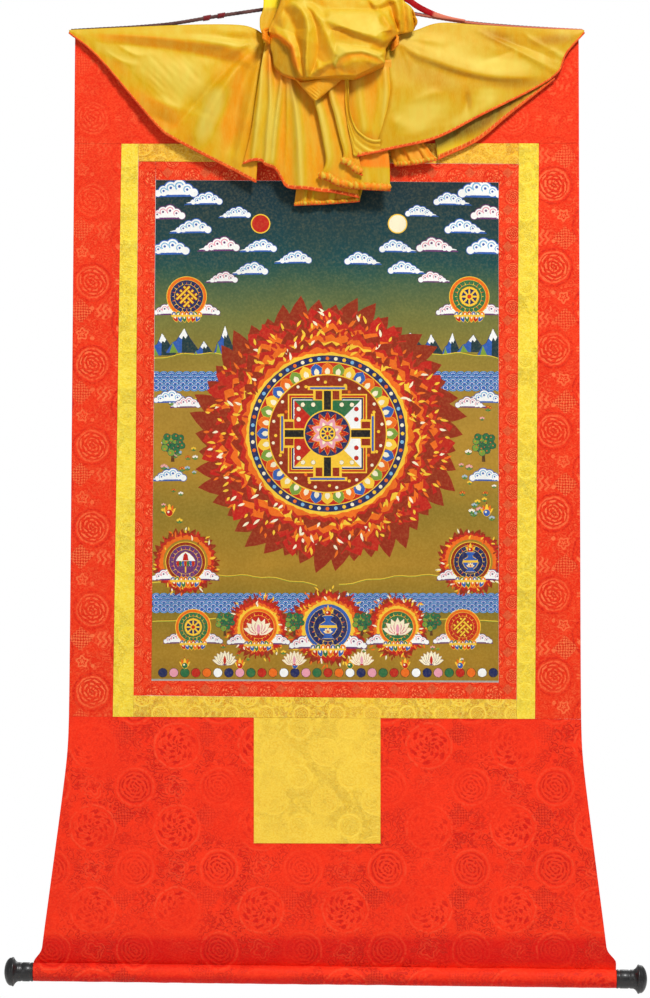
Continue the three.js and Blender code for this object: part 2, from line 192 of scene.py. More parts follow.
def make_camera():
    distance, height_seen = 4.0, 0.9182
    data = bpy.data.cameras.new("camera")
    data.sensor_width = 36
    data.lens = 36 * distance / height_seen
    data.clip_end = 50
    camera = linked("camera", data)
    camera.location = (-0.00276, -distance, -0.4582)
    camera.rotation_euler = (math.pi / 2, 0, 0)
    bpy.context.scene.camera = camera


make_camera()


# ---------------------------------------------------------------- numbers and meshes

def smooth(lo, hi, x):
    t = np.clip((x - lo) / (hi - lo), 0, 1)
    return t * t * (3 - 2 * t)


def mix(a, b, t):
    return a + (b - a) * t


def unit(v):
    return v / np.maximum(np.linalg.norm(v, axis=-1, keepdims=True), 1e-9)


class Noise:
    """Smooth random bumps over a plane, from -1 to 1, the same on every run."""

    def __init__(self, seed, size=61):
        self.table = np.random.default_rng(seed).uniform(-1, 1, (size, size))

    def __call__(self, x, y):
        x, y = np.broadcast_arrays(np.asarray(x, float), np.asarray(y, float))
        i, j = np.floor(x).astype(int), np.floor(y).astype(int)
        fx, fy = smooth(0, 1, x - i), smooth(0, 1, y - j)
        n = len(self.table)
        rows = [[self.table[(i + a) % n, (j + b) % n] for b in (0, 1)] for a in (0, 1)]
        return mix(mix(rows[0][0], rows[1][0], fx), mix(rows[0][1], rows[1][1], fx), fy)


def spline(points, at):
    """Points on the smooth curve through the given ones, at counts along it such as 0, 0.5 or 2.25."""
    p = np.asarray(points, float)
    ext = np.vstack([2 * p[0] - p[1], p, 2 * p[-1] - p[-2]])
    at = np.clip(np.asarray(at, float), 0, len(p) - 1)
    k = np.minimum(at.astype(int), len(p) - 2)
    t = (at - k)[..., None]
    a, b, c, d = (ext[k + n] for n in range(4))
    return 0.5 * (2 * b + (c - a) * t + (2 * a - 5 * b + 4 * c - d) * t**2 + (3 * b - a - 3 * c + d) * t**3)


def lengths(line):
    """How far along the line each of its points is."""
    return np.r_[0, np.cumsum(np.linalg.norm(np.diff(line, axis=0), axis=1))]


def between(line, along, at):
    """The line's points at these lengths, where along gives its own points' lengths."""
    return np.stack([np.interp(at, along, line[:, k]) for k in range(line.shape[1])], axis=1)


def evenly(points, count):
    """count evenly spaced points on the smooth curve through the given ones."""
    dense = spline(points, np.linspace(0, len(points) - 1, 24 * len(points)))
    along = lengths(dense)
    return between(dense, along, np.linspace(0, along[-1], count))


def across_and_down(columns, rows):
    """The shares u and v of a grid's points across it and down it."""
    return np.linspace(0, 1, columns + 1)[None, :], np.linspace(0, 1, rows + 1)[:, None]


class Shape:
    """Vertices in millimetres and faces, gathered bit by bit and made into one object."""

    def __init__(self):
        self.verts, self.faces, self.slots, self.tints = [], [], [], []
        self.count, self.tinted = 0, False

    def add(self, verts, faces, slots=0, tint=None):
        self.verts.append(verts)
        self.faces += [tuple(int(i) + self.count for i in f) for f in faces]
        self.slots += [slots] * len(faces) if np.isscalar(slots) else list(slots)
        self.tints.append(np.zeros((len(verts), 3)) if tint is None else tint)
        self.tinted |= tint is not None
        self.count += len(verts)

    def build(self, name, materials, slot, crisp=75):
        """The object. Edges sharper than crisp degrees stay hard."""
        mesh = bpy.data.meshes.new(name)
        mesh.from_pydata((np.vstack(self.verts) * MM).tolist(), [], self.faces)
        for material in materials:
            mesh.materials.append(material)
        mesh.polygons.foreach_set("material_index", self.slots)
        mesh.polygons.foreach_set("use_smooth", [True] * len(self.faces))
        if self.tinted:
            tints = np.vstack(self.tints)
            layer = mesh.color_attributes.new("tint", "FLOAT_COLOR", "POINT")
            layer.data.foreach_set("color", np.hstack([tints, np.ones((len(tints), 1))]).ravel())
        mesh.update()
        mesh.set_sharp_from_angle(angle=math.radians(crisp))
        piece = linked(name, mesh)
        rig.ride(piece, "root")
        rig.slot(piece, slot)
        return piece


def normals_of(grid):
    down, across = np.gradient(grid, axis=(0, 1))
    return unit(np.cross(across, down))


FRONT, BACK, EDGE = 0, 1, 2
ROUNDING = 0.12  # how far a cloth's edge swells out, in thicknesses


def slab(grid, thickness, keep=None, tint=None):
    """A closed cloth about a grid of points, u to the right and v down. keep says which cells are there, and
    tint gives the grid's points their three tints."""
    rows, cols = grid.shape[:2]
    total = rows * cols
    normal = normals_of(grid).reshape(-1, 3)
    flat = grid.reshape(-1, 3)
    index = np.arange(total).reshape(rows, cols)
    cells = np.stack([index[:-1, :-1], index[1:, :-1], index[1:, 1:], index[:-1, 1:]], -1)
    cells = cells.reshape(-1, 4) if keep is None else cells[keep]
    edges = np.concatenate([cells[:, [k, (k + 1) % 4]] for k in range(4)])
    edges = edges[~np.isin(edges[:, 0] * total + edges[:, 1], edges[:, 1] * total + edges[:, 0])]
    out = np.zeros((total, 3))
    away = unit(np.cross(normal[edges[:, 0]], flat[edges[:, 1]] - flat[edges[:, 0]]))
    np.add.at(out, edges[:, 0], away)
    np.add.at(out, edges[:, 1], away)
    rim = np.unique(edges)
    place = np.zeros(total, int)
    place[rim] = 2 * total + np.arange(len(rim))
    lift = normal * thickness / 2
    verts = np.vstack([flat - lift, flat + lift, flat[rim] + unit(out[rim]) * thickness * ROUNDING])
    p, q = edges[:, 0], edges[:, 1]
    walls = np.vstack([np.stack([q, p, place[p], place[q]], -1),
                       np.stack([place[q], place[p], p + total, q + total], -1)])
    faces = np.vstack([cells, cells[:, ::-1] + total, walls])
    used = np.unique(faces)
    renumber = np.zeros(len(verts), int)
    renumber[used] = np.arange(len(used))
    if tint is not None:
        tint = tint.reshape(-1, 3)
        tint = np.vstack([tint, tint, tint[rim]])[used]
    slots = [FRONT] * len(cells) + [BACK] * len(cells) + [EDGE] * len(walls)
    return verts[used], renumber[faces], slots, tint


def closed_rings(rings, ends):
    """A closed surface over rings of points, with a point at each end."""
    count, sides = rings.shape[:2]
    here = np.arange(sides)
    on = (here + 1) % sides
    start = np.arange(count - 1)[:, None] * sides
    faces = np.stack([start + here, start + sides + here, start + sides + on, start + on], -1).reshape(-1, 4)
    first, last = count * sides, (count - 1) * sides
    faces = [*faces.tolist(), *((first, a, b) for a, b in zip(here, on))]
    faces += [(first + 1, last + b, last + a) for a, b in zip(here, on)]
    return np.vstack([rings.reshape(-1, 3), ends]), faces


def tube(path, radius, sides, section=None, twist=0.0):
    """A closed tube along a path. section scales the radius by angle; twist is in radians a millimetre."""
    path = np.asarray(path, float)
    radii = np.broadcast_to(np.asarray(radius, float), (len(path),))
    tangent = unit(np.gradient(path, axis=0))
    side = unit(np.cross(tangent, [0.02, 1.0, 0.03]))
    angle = np.arange(sides) * TURN / sides
    turn = (angle[None, :] + twist * lengths(path)[:, None])[..., None]
    wide = radii[:, None] * (np.ones(sides) if section is None else section(angle))[None, :]
    ring = np.cos(turn) * side[:, None] + np.sin(turn) * np.cross(side, tangent)[:, None]
    caps = [path[0] - tangent[0] * radii[0] * 0.6, path[-1] + tangent[-1] * radii[-1] * 0.6]
    return closed_rings(path[:, None] + ring * wide[..., None], caps)


# ---------------------------------------------------------------- material nodes

def put(tree, socket, value):
    """Links a socket or a Field, or sets a value. A tuple of three numbers is a colour, a list a vector."""
    if isinstance(value, Field):
        tree.links.new(value.socket, socket)
    elif hasattr(value, "is_output"):
        tree.links.new(value, socket)
    else:
        socket.default_value = (*value, 1) if isinstance(value, tuple) and len(value) == 3 else value


def add_node(tree, kind, inputs=None, **settings):
    node = tree.nodes.new("ShaderNode" + kind)
    for key, value in settings.items():
        setattr(node, key, value)
    for key, value in (inputs or {}).items():
        put(tree, node.inputs[key], value)
    return node


class Field:
    """A number that varies over a surface: a socket of a material's node tree, with arithmetic."""

    def __init__(self, tree, socket):
        self.tree, self.socket = tree, socket

    def math(self, operation, *others):
        node = add_node(self.tree, "Math", dict(enumerate((self, *others))), operation=operation)
        return Field(self.tree, node.outputs[0])

    def __rsub__(self, other):
        return (self * -1) + other

    def hypot(self, other):
        return (self * self + other * other).math("SQRT")

    def over(self, edge, soft):
        """0 below the edge and 1 above it."""
        out = (self - (edge - soft / 2)) * (1 / soft)
        out.socket.node.use_clamp = True
        return out

    def band(self, lo, hi, soft):
        """1 between lo and hi."""
        return self.over(lo, soft) * (1 - self.over(hi, soft))

    def about(self, period, shift):
        """The offset from the middle of this repeat, from -period / 2 to period / 2."""
        return ((self * (1 / period) + (shift + 0.5)).math("FRACT") - 0.5) * period


for method, operation in (("__add__", "ADD"), ("__radd__", "ADD"), ("__sub__", "SUBTRACT"),
                          ("__mul__", "MULTIPLY"), ("__rmul__", "MULTIPLY"), ("sin", "SINE"),
                          ("abs", "ABSOLUTE"), ("high", "MAXIMUM"), ("angle", "ARCTAN2")):
    setattr(Field, method, lambda self, *others, operation=operation: self.math(operation, *others))


class Material:
    """A Principled material that reads its patterns from the piece's own coordinates, in millimetres."""

    def __init__(self, name, **settings):
        self.material = bpy.data.materials.new(name)
        self.material.use_nodes = True
        self.tree = self.material.node_tree
        self.shader = self.tree.nodes["Principled BSDF"]
        for key, value in settings.items():
            put(self.tree, self.shader.inputs[key.replace("_", " ")], value)
        self.place = add_node(self.tree, "TexCoord").outputs["Object"]
        split = add_node(self.tree, "SeparateXYZ", {0: self.place})
        self.x, self.z = (Field(self.tree, split.outputs[k]) * (1 / MM) for k in (0, 2))

    def noise(self, size, detail=2.0, stretch=(1, 1, 1), roughness=0.5, turn=0.0):
        """Noise with bumps of about this size in millimetres, from 0 to 1."""
        mapping = {0: self.place, "Rotation": [0, turn, 0], "Scale": [k / (size * MM) for k in stretch]}
        place = add_node(self.tree, "Mapping", mapping).outputs[0]
        inputs = {"Vector": place, "Scale": 1.0, "Detail": detail, "Roughness": roughness}
        return Field(self.tree, add_node(self.tree, "TexNoise", inputs).outputs["Fac"])

    def tint(self):
        """The mesh's own tints, as a colour."""
        return add_node(self.tree, "VertexColor", layer_name="tint").outputs["Color"]

    def blend(self, share, a, b):
        """Colour a where share is 0 and colour b where it is 1."""
        return add_node(self.tree, "Mix", {0: share, 6: a, 7: b}, data_type="RGBA").outputs[2]

    def layered(self, colour, rows):
        """Colours laid over one another. A row is a field, the edge and softness of its step, how much of the
        colour goes on above it, and the colour."""
        for field, edge, soft, share, other in rows:
            colour = self.blend(field.over(edge, soft) * share, colour, other)
        return colour

    def finish(self, colour, roughness, height, depth):
        """Links the colour, the roughness and a bump whose height field stands depth millimetres high."""
        bump = add_node(self.tree, "Bump", {"Distance": depth * MM, "Height": height}).outputs[0]
        for key, value in (("Base Color", colour), ("Roughness", roughness), ("Normal", bump)):
            put(self.tree, self.shader.inputs[key], value)
        return self.material


def srgb(r, g, b):
    """A display colour, 0 to 255, as the linear one that a shader takes."""
    shares = (r / 255, g / 255, b / 255)
    return tuple(c / 12.92 if c <= 0.04045 else ((c + 0.055) / 1.055) ** 2.4 for c in shares)


# ---------------------------------------------------------------- brocade

REPEAT = (77.3, 75.4)  # width and height of the damask's repeat


def damask(m, scale=1.0, offset=(0.0, 0.0), way=1, curls_show=1.0):
    """The woven figure as (marks, outlines), each from 0 to 1: roundels of short strokes in broken rings,
    florets and paired bars between them, lattice diamonds, buds, beads and sprigs, larger rings in a half
    drop, and small scrolls all over. way is -1 for cloth cut the other way up."""
    sway = m.noise(8 * scale) - 0.5
    heave = m.noise(8 * scale, 2.0, (1, 1, 1.03), 0.5, 1.1) - 0.5
    x = (m.x - offset[0]) * (way / scale) + sway * 3
    z = (m.z - offset[1]) * (way / scale) + heave * 3
    worn = m.noise(3.0 * scale, 1.5)
    breaks = worn.over(0.45, 0.16)
    right = lambda shift: x.about(REPEAT[0], shift)
    up = lambda shift: z.about(REPEAT[1], shift)
    flower = lambda dx, dz, petals, depth: dx.hypot(dz) - (dz.angle(dx) * petals).sin() * depth

    dx, dz = right(0), up(0)
    reach, turn = dx.hypot(dz), dz.angle(dx)
    within = 1 - reach.over(13.6, 1.2)
    stroke = (reach * 1.75 + (turn * 2).sin() * 1.3 + worn * 3).sin()
    cuts = (turn * 7 + reach * 0.9 + worn * 5).sin().over(-0.45, 0.5)
    marks = [stroke.over(0.2, 0.6) * cuts * within, reach.band(13.2, 14.9, 0.8) * (breaks * 0.5 + 0.3)]
    lines = [stroke.band(-0.9, -0.4, 0.4) * within * 0.7, reach.band(16.2, 18.0, 1.2) * (breaks * 0.7 + 0.15)]

    fx = right(0.5)
    floret = flower(fx, dz, 4, 1.6)
    lines += [floret.band(5.2, 6.8, 0.8) * 0.8, floret.band(8.8, 9.9, 0.7) * breaks]
    marks += [1 - floret.over(2.2, 0.8), floret.band(3.4, 4.6, 0.6) * breaks]
    marks += [(1 - (fx.abs() - 14.6).abs().over(2.6, 0.5)) * dz.abs().band(0.6, 2.3, 0.5)]

    lx, lz = right(0.14), up(0.35)
    diamond = 1 - (lx.abs() + lz.abs()).over(11.5, 0.8)
    checks = ((lx + lz) * 1.25).sin() * ((lx - lz) * 1.25).sin()
    marks += [checks.over(0.05, 0.4) * diamond]
    lines += [checks.band(-0.7, -0.1, 0.3) * diamond * 0.7]

    bud = flower(right(0.12), up(-0.37), 5, 0.9)
    sx, sz = right(-0.13), up(0.36)
    sprig = (sx * 1.2 + (sz * 0.8).sin() * 1.6).sin().over(0.1, 0.5) * (1 - sx.hypot(sz).over(7.5, 1.5))
    beads = dx.hypot(up(0.5).abs() - 14)
    marks += [bud.band(3.4, 5.2, 0.6), 1 - bud.over(1.6, 0.6), sprig * 0.8, 1 - beads.over(1.9, 0.6)]

    hx, hz = right(0.5), up(0.5)
    far, around = hx.hypot(hz), hz.angle(hx)
    leafy = (around * 6 + far * 0.35).sin() * (far * 0.75 + worn * 5).sin()
    inside = 1 - far.over(18, 1.5)
    marks += [leafy.over(0.35, 0.4) * inside]
    lines += [leafy.band(-0.6, -0.15, 0.3) * inside * 0.7, far.band(20.0, 21.8, 0.9) * breaks]

    open_ground = reach.over(19.5, 1.5) * far.over(22, 2) * m.noise(15 * scale, 1.0).over(0.4, 0.16)
    curls = (m.noise(7.5 * scale, 1.0, (1, 1, 1.2)) * 34).sin()
    marks += [curls.over(0.5, 0.5) * open_ground * (breaks * 0.4 + 0.6) * curls_show]
    lines += [curls.band(-0.4, 0.2, 0.4) * open_ground * (curls_show * 0.75)]
    return reduce(Field.high, marks), reduce(Field.high, lines)


def brocade(name, ground, dark, light, scale=1.0, offset=(0.0, 0.0), contrast=1.0, hidden=0.25, weave=0.16,
            dip=None, way=1, lit=False, faint_above=0):
    """Damask brocade: a darker figure with lit outlines, or a lit one with darker outlines if lit. It shows
    more in some places than in others, and less above a height. dip is the lower and upper
    height of a band of painted shade where the cloth turns back to the rod; with it, painted shade also
    darkens the sleeve's underside."""
    m = Material(name, Specular_IOR_Level=0.16, Sheen_Weight=0.03, Sheen_Roughness=0.5)
    marks, lines = damask(m, scale, offset, way, 0.4 if lit else 1.0)
    shows = m.noise(58).over(0.47, 0.22) * (1 - hidden) + hidden
    shows = shows * (1 - m.z.over(faint_above, 50) * 0.65)
    threads = (m.z * (TURN / 0.6)).sin() * (m.x * (TURN / 0.55)).sin() * 0.5 + 0.5
    grain = m.noise(1.7, 2.0, (1, 1, 1.6), 0.6)
    cloudy = m.noise(30, 3.0)
    colour = m.blend(cloudy.over(0.52, 0.4) * 0.25, ground, dark)
    if dip:
        # Painted shade: a deep red band where the skirt turns back towards the rod.
        deep = srgb(226, 0, 0)
        colour = m.blend(m.z.band(dip[0], dip[1], 7.0) * (cloudy.over(0.42, 0.4) * 0.28 + 0.7), colour, deep)
        # Painted shade on the underside of the sleeve, below the rod's axis.
        colour = m.blend((1 - (m.z + m.x * math.tan(ROD_TILT)).over(ROD_Z - 1.5, 4.0)) * 0.8, colour, deep)
    figure = [(lines, 0.8, dark), (marks, 1, light)] if lit else [(marks, 1, dark), (lines, 0.5, light)]
    for share, strength, hue in figure:
        colour = m.blend(share * shows * (contrast * strength), colour, hue)
    colour = m.layered(colour, [(grain, 0.55, 0.3, weave, light), (1 - grain, 0.58, 0.3, weave, dark)])
    height = lines * shows * 0.8 - marks * shows * 0.5 + threads * 0.15 + grain * 0.35
    return m.finish(colour, 0.62 - marks * 0.12 + grain * 0.1, height, 0.3)


def reverse(name, ground, dark, thread):
    """The back of a brocade: paler, with the figure's threads lying loose across it."""
    m = Material(name, Specular_IOR_Level=0.2, Sheen_Weight=0.12)
    marks, lines = damask(m)
    floats = (m.z * (TURN / 0.9)).sin() * 0.5 + 0.5
    grain = m.noise(2.2, 2.0, (0.4, 1, 1.4))
    colour = m.blend(marks * 0.6, ground, dark)
    colour = m.blend(floats * grain * 0.5 + lines * 0.2, colour, thread)
    return m.finish(colour, 0.82 - floats * 0.1, floats * 0.4 + grain * 0.6, 0.2)


# ---------------------------------------------------------------- mount

BROCADE = 1.2  # thickness
INSET = 0.12  # how far each cloth stops short of the seam line
PROUD = 0.35  # how far the frame and the patch stand in front of the red cloth
FRAME_OUTER = {"tl": (-190, -131.4), "tr": (194, -131), "bl": (-198, -658.5), "br": (190.5, -660.5)}
FRAME_INNER = {"tl": (-174.5, -147.6), "tr": (175.5, -150), "bl": (-179, -639), "br": (173.5, -642.5)}
PICTURE = {"tl": (-158.5, -164.7), "tr": (157, -167), "bl": (-162.5, -625.3), "br": (157, -627)}
TOP_EDGE = -29.6
PATCH_LEFT, PATCH_RIGHT, PATCH_FOOT = -68.3, 48.3, -775
SIDES = {-1: (232.5, 0.0085, -688), 1: (230.5, 0.003, -690)}  # half width, taper and where the flare begins
FLARE, FLARE_SOFTNESS = 0.128, 22
WAVE_HEIGHT, WAVE_LENGTH, WAVE_PHASE, WAVE_TOP = 1.6, 236, 0.7, -600
ROD_Y, ROD_Z, ROD_TILT = 6, -897.2, math.radians(0.69)
SLEEVE_RADIUS, SLEEVE_ENDS = 8.5, (-271.4, 265.4)
TURN_BACK, SLEEVE_MEETS = -850, math.radians(20)
puckers = Noise(11)


def side_edge(sign, z):
    top, taper, flare_from = SIDES[sign]
    below = flare_from - z
    return sign * (top + taper * (TOP_EDGE - z) + FLARE * (below + np.hypot(below, FLARE_SOFTNESS)) / 2)


def line_through(a, b):
    return lambda x: a[1] + (x - a[0]) * (b[1] - a[1]) / (b[0] - a[0])


TOP_SEAM = line_through(FRAME_OUTER["tl"], FRAME_OUTER["tr"])
FOOT_SEAM = line_through(FRAME_OUTER["bl"], FRAME_OUTER["br"])


def rod_height(x):
    return ROD_Z - x * math.tan(ROD_TILT)


def on_mount(x, z, proud=0.0, pucker=0.12):
    """Points of the mount's cloth at (x, z): flat, with slow swells in the skirt, then turned back to the
    sleeve, and small puckers all over."""
    foot = rod_height(x) + SLEEVE_RADIUS
    loose = np.clip((z - WAVE_TOP) / (foot - WAVE_TOP), 0, 1)
    swell = -WAVE_HEIGHT * np.sin(TURN * x / WAVE_LENGTH + WAVE_PHASE) * np.sin(np.pi * loose) ** 2
    turned = np.clip((TURN_BACK - z) / (TURN_BACK - foot), 0, 1.1)
    reach = ROD_Y + (SLEEVE_RADIUS - BROCADE / 2) * math.sin(SLEEVE_MEETS)
    fine = pucker * (puckers(x / 21, z / 23) + 0.5 * puckers(x / 9 + 7, z / 11))
    return np.stack([x, swell + reach * turned**2 + fine - proud, z], axis=-1)


def cells_in(size, cell=4.0):
    return max(3, int(round(abs(size) / cell)))


def cloth_piece(name, grid, materials, slot, flat, rests_on, keep=None, **more):
    """A cloth of the mount that stands for the CAD piece of this name."""
    shape = Shape()
    shape.add(*slab(grid, BROCADE, keep))
    piece = shape.build("cloth_" + name, materials, slot)
    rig.sheet(piece, flat=flat, held="hung", rests_on=rests_on, **more)
    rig.replaces(piece, name)


def drawn_in_corners(corners):
    """Corners top left, top right, bottom left and bottom right, each moved in to its seams' inset."""
    ways = ((1, -1), (-1, -1), (1, 1), (-1, 1))
    return [np.asarray(corner, float) + np.multiply(way, INSET) for corner, way in zip(corners, ways)]


def patchwork(name, corners, materials, slot, proud):
    """A cloth between four corners, top left, top right, bottom left and bottom right."""
    tl, tr, bl, br = drawn_in_corners(corners)
    u, v = across_and_down(cells_in(tr[0] - tl[0]), cells_in(tl[1] - bl[1]))
    flat = mix(mix(tl, tr, u[..., None]), mix(bl, br, u[..., None]), v[..., None])
    size = tuple(max(0.01, np.linalg.norm(far - tl) * MM) for far in (tr, bl))
    grid = on_mount(flat[..., 0], flat[..., 1], proud)
    cloth_piece(name, grid, materials, slot, size, ["cloth_ground_top"])


def strips(prefix, outer, inner, upright, top, bottom, slot, proud=0.0):
    """Four strips between two nested rectangles: the side strips at full height, the others between them.
    upright, top and bottom are their materials."""
    at = {k: (inner[k][0], outer[k][1]) for k in inner}
    for side, corners, materials in (("left", (outer["tl"], at["tl"], outer["bl"], at["bl"]), upright),
                                     ("right", (at["tr"], outer["tr"], at["br"], outer["br"]), upright),
                                     ("top", (at["tl"], at["tr"], inner["tl"], inner["tr"]), top),
                                     ("bottom", (inner["bl"], inner["br"], at["bl"], at["br"]), bottom)):
        patchwork(prefix + "_" + side, corners, materials, slot, proud)


def ground_piece(name, x_of, z_of, materials, flat):
    """A red cloth whose sides follow the mount's own edges: x_of and z_of give its grid from u and v."""
    u, v = np.meshgrid(*(np.linspace(0, 1, cells_in(size / MM) + 1) for size in flat))
    z = z_of(u, v)
    cloth_piece(name, on_mount(x_of(u, z), z), materials, "red_brocade", flat, ["hanging_cord_twisted"])


def make_grounds(left, right):
    ground_piece("ground_top", lambda u, z: mix(side_edge(-1, z), side_edge(1, z), u),
                 lambda u, v: mix(TOP_EDGE, TOP_SEAM(mix(-232, 231, u)) + INSET, v), left, (0.463, 0.101))
    for name, sign, top, foot in (("ground_left", -1, "tl", "bl"), ("ground_right", 1, "tr", "br")):
        a, b = FRAME_OUTER[top], FRAME_OUTER[foot]
        outer_x = SIDES[sign][0] * sign

        def z_of(u, v):
            x = mix(outer_x, a[0], u) if sign < 0 else mix(a[0], outer_x, u)
            return mix(TOP_SEAM(x) - INSET, FOOT_SEAM(x) + INSET, v)

        def x_of(u, z):
            inner = a[0] + (z - a[1]) * (b[0] - a[0]) / (b[1] - a[1]) + sign * INSET
            outer = side_edge(sign, z)
            return mix(outer, inner, u) if sign < 0 else mix(inner, outer, u)

        ground_piece(name, x_of, z_of, left if sign < 0 else right, (0.041, 0.528))


def make_skirt(materials):
    """The skirt: notched for the door patch, flared, turned back at the foot and sewn round the rod."""
    side_block, middle_block, above, below, turns = 48, 29, 29, 46, 40  # cells
    u = np.r_[np.linspace(0, 1, side_block, endpoint=False), np.linspace(1, 2, middle_block, endpoint=False),
              np.linspace(2, 3, side_block + 1)]
    v = np.r_[np.linspace(0, 1, above, endpoint=False), 1 + np.linspace(0, 1, below + 1) ** 0.85]
    u, v = np.meshgrid(u, v)
    radius = SLEEVE_RADIUS - BROCADE / 2
    left, right = PATCH_LEFT - INSET, PATCH_RIGHT + INSET

    def place(z):
        flared = smooth(-868, -886, z) ** 2
        edges = [mix(side_edge(sign, np.maximum(z, -888)), SLEEVE_ENDS[sign > 0], flared) for sign in (-1, 1)]
        return np.where(u < 1, mix(edges[0], left, u),
                        np.where(u < 2, mix(left, right, u - 1), mix(right, edges[1], u - 2)))

    rough_x = place(np.full_like(u, -800.0))
    foot = rod_height(rough_x) + radius * math.cos(SLEEVE_MEETS)
    level = PATCH_FOOT - INSET
    z = np.where(v < 1, mix(FOOT_SEAM(rough_x) - INSET, level, v), mix(level, foot, v - 1))
    face = on_mount(place(z), z, 0.0, 0.16)
    angle = np.linspace(SLEEVE_MEETS, SLEEVE_MEETS - math.radians(342), turns + 1)[1:, None]
    x = mix(*SLEEVE_ENDS, (face[-1, :, 0] - face[-1, 0, 0]) / np.ptp(face[-1, :, 0]))[None, :] + 0 * angle
    r = radius + 0.25 * puckers(x / 17, angle * 1.5) + 0.14 * puckers(x / 6, angle * 3)
    ring = np.stack([x, ROD_Y + r * np.sin(angle), rod_height(x) + r * np.cos(angle)], axis=2)
    grid = np.concatenate([face, ring])
    keep = np.ones((grid.shape[0] - 1, grid.shape[1] - 1), bool)
    keep[:above, side_block:side_block + middle_block] = False
    cloth_piece("ground_skirt", grid, materials, "red_brocade", (0.537, 0.286),
                ["cloth_ground_left", "cloth_ground_right"], keep, area=0.135)


def make_mount():
    red_back = reverse("red_brocade_reverse", srgb(205, 70, 50), srgb(160, 24, 14), srgb(232, 130, 100))
    gold_back = reverse("yellow_brocade_reverse", srgb(216, 186, 96), srgb(180, 132, 40), srgb(236, 216, 140))

    def both_sides(back, name, ground, dark, light, *rest, **more):
        front = brocade(name, srgb(*ground), srgb(*dark), srgb(*light), *rest, **more)
        return [front, back, front]

    foot_start, gold_start = (-177.6, -723.1), (8, 9)
    reds = [both_sides(red_back, name, (243, 50, 10), (200, 2, 0), (255, 118, 66), 1.0, middle, 0.95, 0.55,
                       0.23, way=way, lit=True, faint_above=faint)
            for name, middle, way, faint in (("red_brocade_left", (-216.8, -334), 1, -222),
                                             ("red_brocade_right", (207.5, -320), -1, -140))]
    foot_red = both_sides(red_back, "red_brocade_foot", (255, 50, 14), (204, 1, 0), (255, 100, 60), 1.0,
                          foot_start, 0.8, 0.2, dip=(-888, -862))
    border = both_sides(red_back, "red_brocade_border", (248, 52, 8), (196, 3, 0), (255, 126, 74), 0.45,
                        foot_start, 1.0, 0.75, 0.26, lit=True)
    upright = both_sides(gold_back, "yellow_brocade_sides", (255, 226, 58), (232, 172, 30), (255, 244, 140),
                         0.45, gold_start, 0.16, 0.3, 0.3)
    # The top strip's darker, more orange ground is partly painted shade from the veil over it and partly its own
    # warmer colour.
    golds = [both_sides(gold_back, name, ground, dark, (255, 232, 130), 0.42, gold_start, 1.0, 0.55, 0.3)
             for name, ground, dark in (("yellow_brocade_top", (255, 196, 42), (214, 126, 12)),
                                        ("yellow_brocade", (255, 216, 58), (226, 146, 18)))]
    patch = both_sides(gold_back, "yellow_brocade_patch", (254, 214, 66), (232, 166, 34), (255, 232, 120),
                       0.6, (20, 10), 0.3, 0.08, 0.3)
    make_grounds(*reds)
    make_skirt(foot_red)
    strips("frame", FRAME_OUTER, FRAME_INNER, upright, *golds, "yellow_brocade", PROUD)
    strips("border", FRAME_INNER, PICTURE, border, border, border, "red_brocade")
    corners = [(x, z) for z in (None, PATCH_FOOT) for x in (PATCH_LEFT, PATCH_RIGHT)]
    corners = [(x, FOOT_SEAM(x) if z is None else z) for x, z in corners]
    patchwork("door_patch", corners, patch, "yellow_brocade", PROUD)


make_mount()


# ---------------------------------------------------------------- rod and knobs

def along_rod(h, r, angle):
    """A point h along the rod from its middle, r from its axis and turned by angle about it."""
    up = r * np.sin(angle)
    x = h * math.cos(ROD_TILT) + up * math.sin(ROD_TILT)
    z = up * math.cos(ROD_TILT) - h * math.sin(ROD_TILT)
    return np.stack([x, ROD_Y + r * np.cos(angle), ROD_Z + z], axis=-1)


def lathe(profile, sign, sides=56):
    """A closed turned shape from (r, h) points that start and end on the axis."""
    r, h = np.asarray(profile, float).T[..., None]
    rings = along_rod(h * sign, r, np.arange(sides) * -TURN / sides * sign)
    return closed_rings(rings[1:-1], rings[[0, -1], 0])


def black_lacquer():
    m = Material("black_lacquer", Specular_IOR_Level=0.5, Coat_Weight=0.35, Coat_Roughness=0.22)
    turning = ((m.x + m.noise(9, 1) * 0.6) * 5.2).sin()
    worn = m.noise(3.2, 4.0, (1, 1, 1), 0.65)
    colour = m.layered(srgb(17, 16, 17), [(worn, 0.66, 0.12, 0.5, srgb(62, 54, 48)),
                                          (m.noise(1.2), 0.6, 0.3, 0.35, srgb(34, 33, 35))])
    return m.finish(colour, 0.34 + worn * 0.2, turning * 0.2 + worn, 0.12)


def rod_wood():
    m = Material("rod_wood", Specular_IOR_Level=0.3)
    grain = m.noise(1.6, 4.0, (0.04, 1, 1), 0.6)
    colour = m.blend(grain.over(0.5, 0.3), srgb(176, 138, 92), srgb(120, 84, 50))
    return m.finish(colour, 0.6 + grain * 0.15, grain, 0.15)


KNOBS = {"knob_left": (-1, 12.9), "knob_right": (1, 14.7)}  # side, and length of the neck
KNOB_NECK, KNOB_FLANGE, KNOB_BORE, KNOB_RIM = 8.8, 13.5, 7.3, 1.1  # radii
KNOB_SOCKET, KNOB_FLARE, KNOB_DOME = 11, 4.6, 6.8  # lengths
GROOVES = [(0.1, 0), (0.14, 0.3), (0.18, 0.45), (0.22, 0.3), (0.26, 0)]  # share of the neck, and depth
GROOVES += [(at + 0.62, deep) for at, deep in GROOVES]


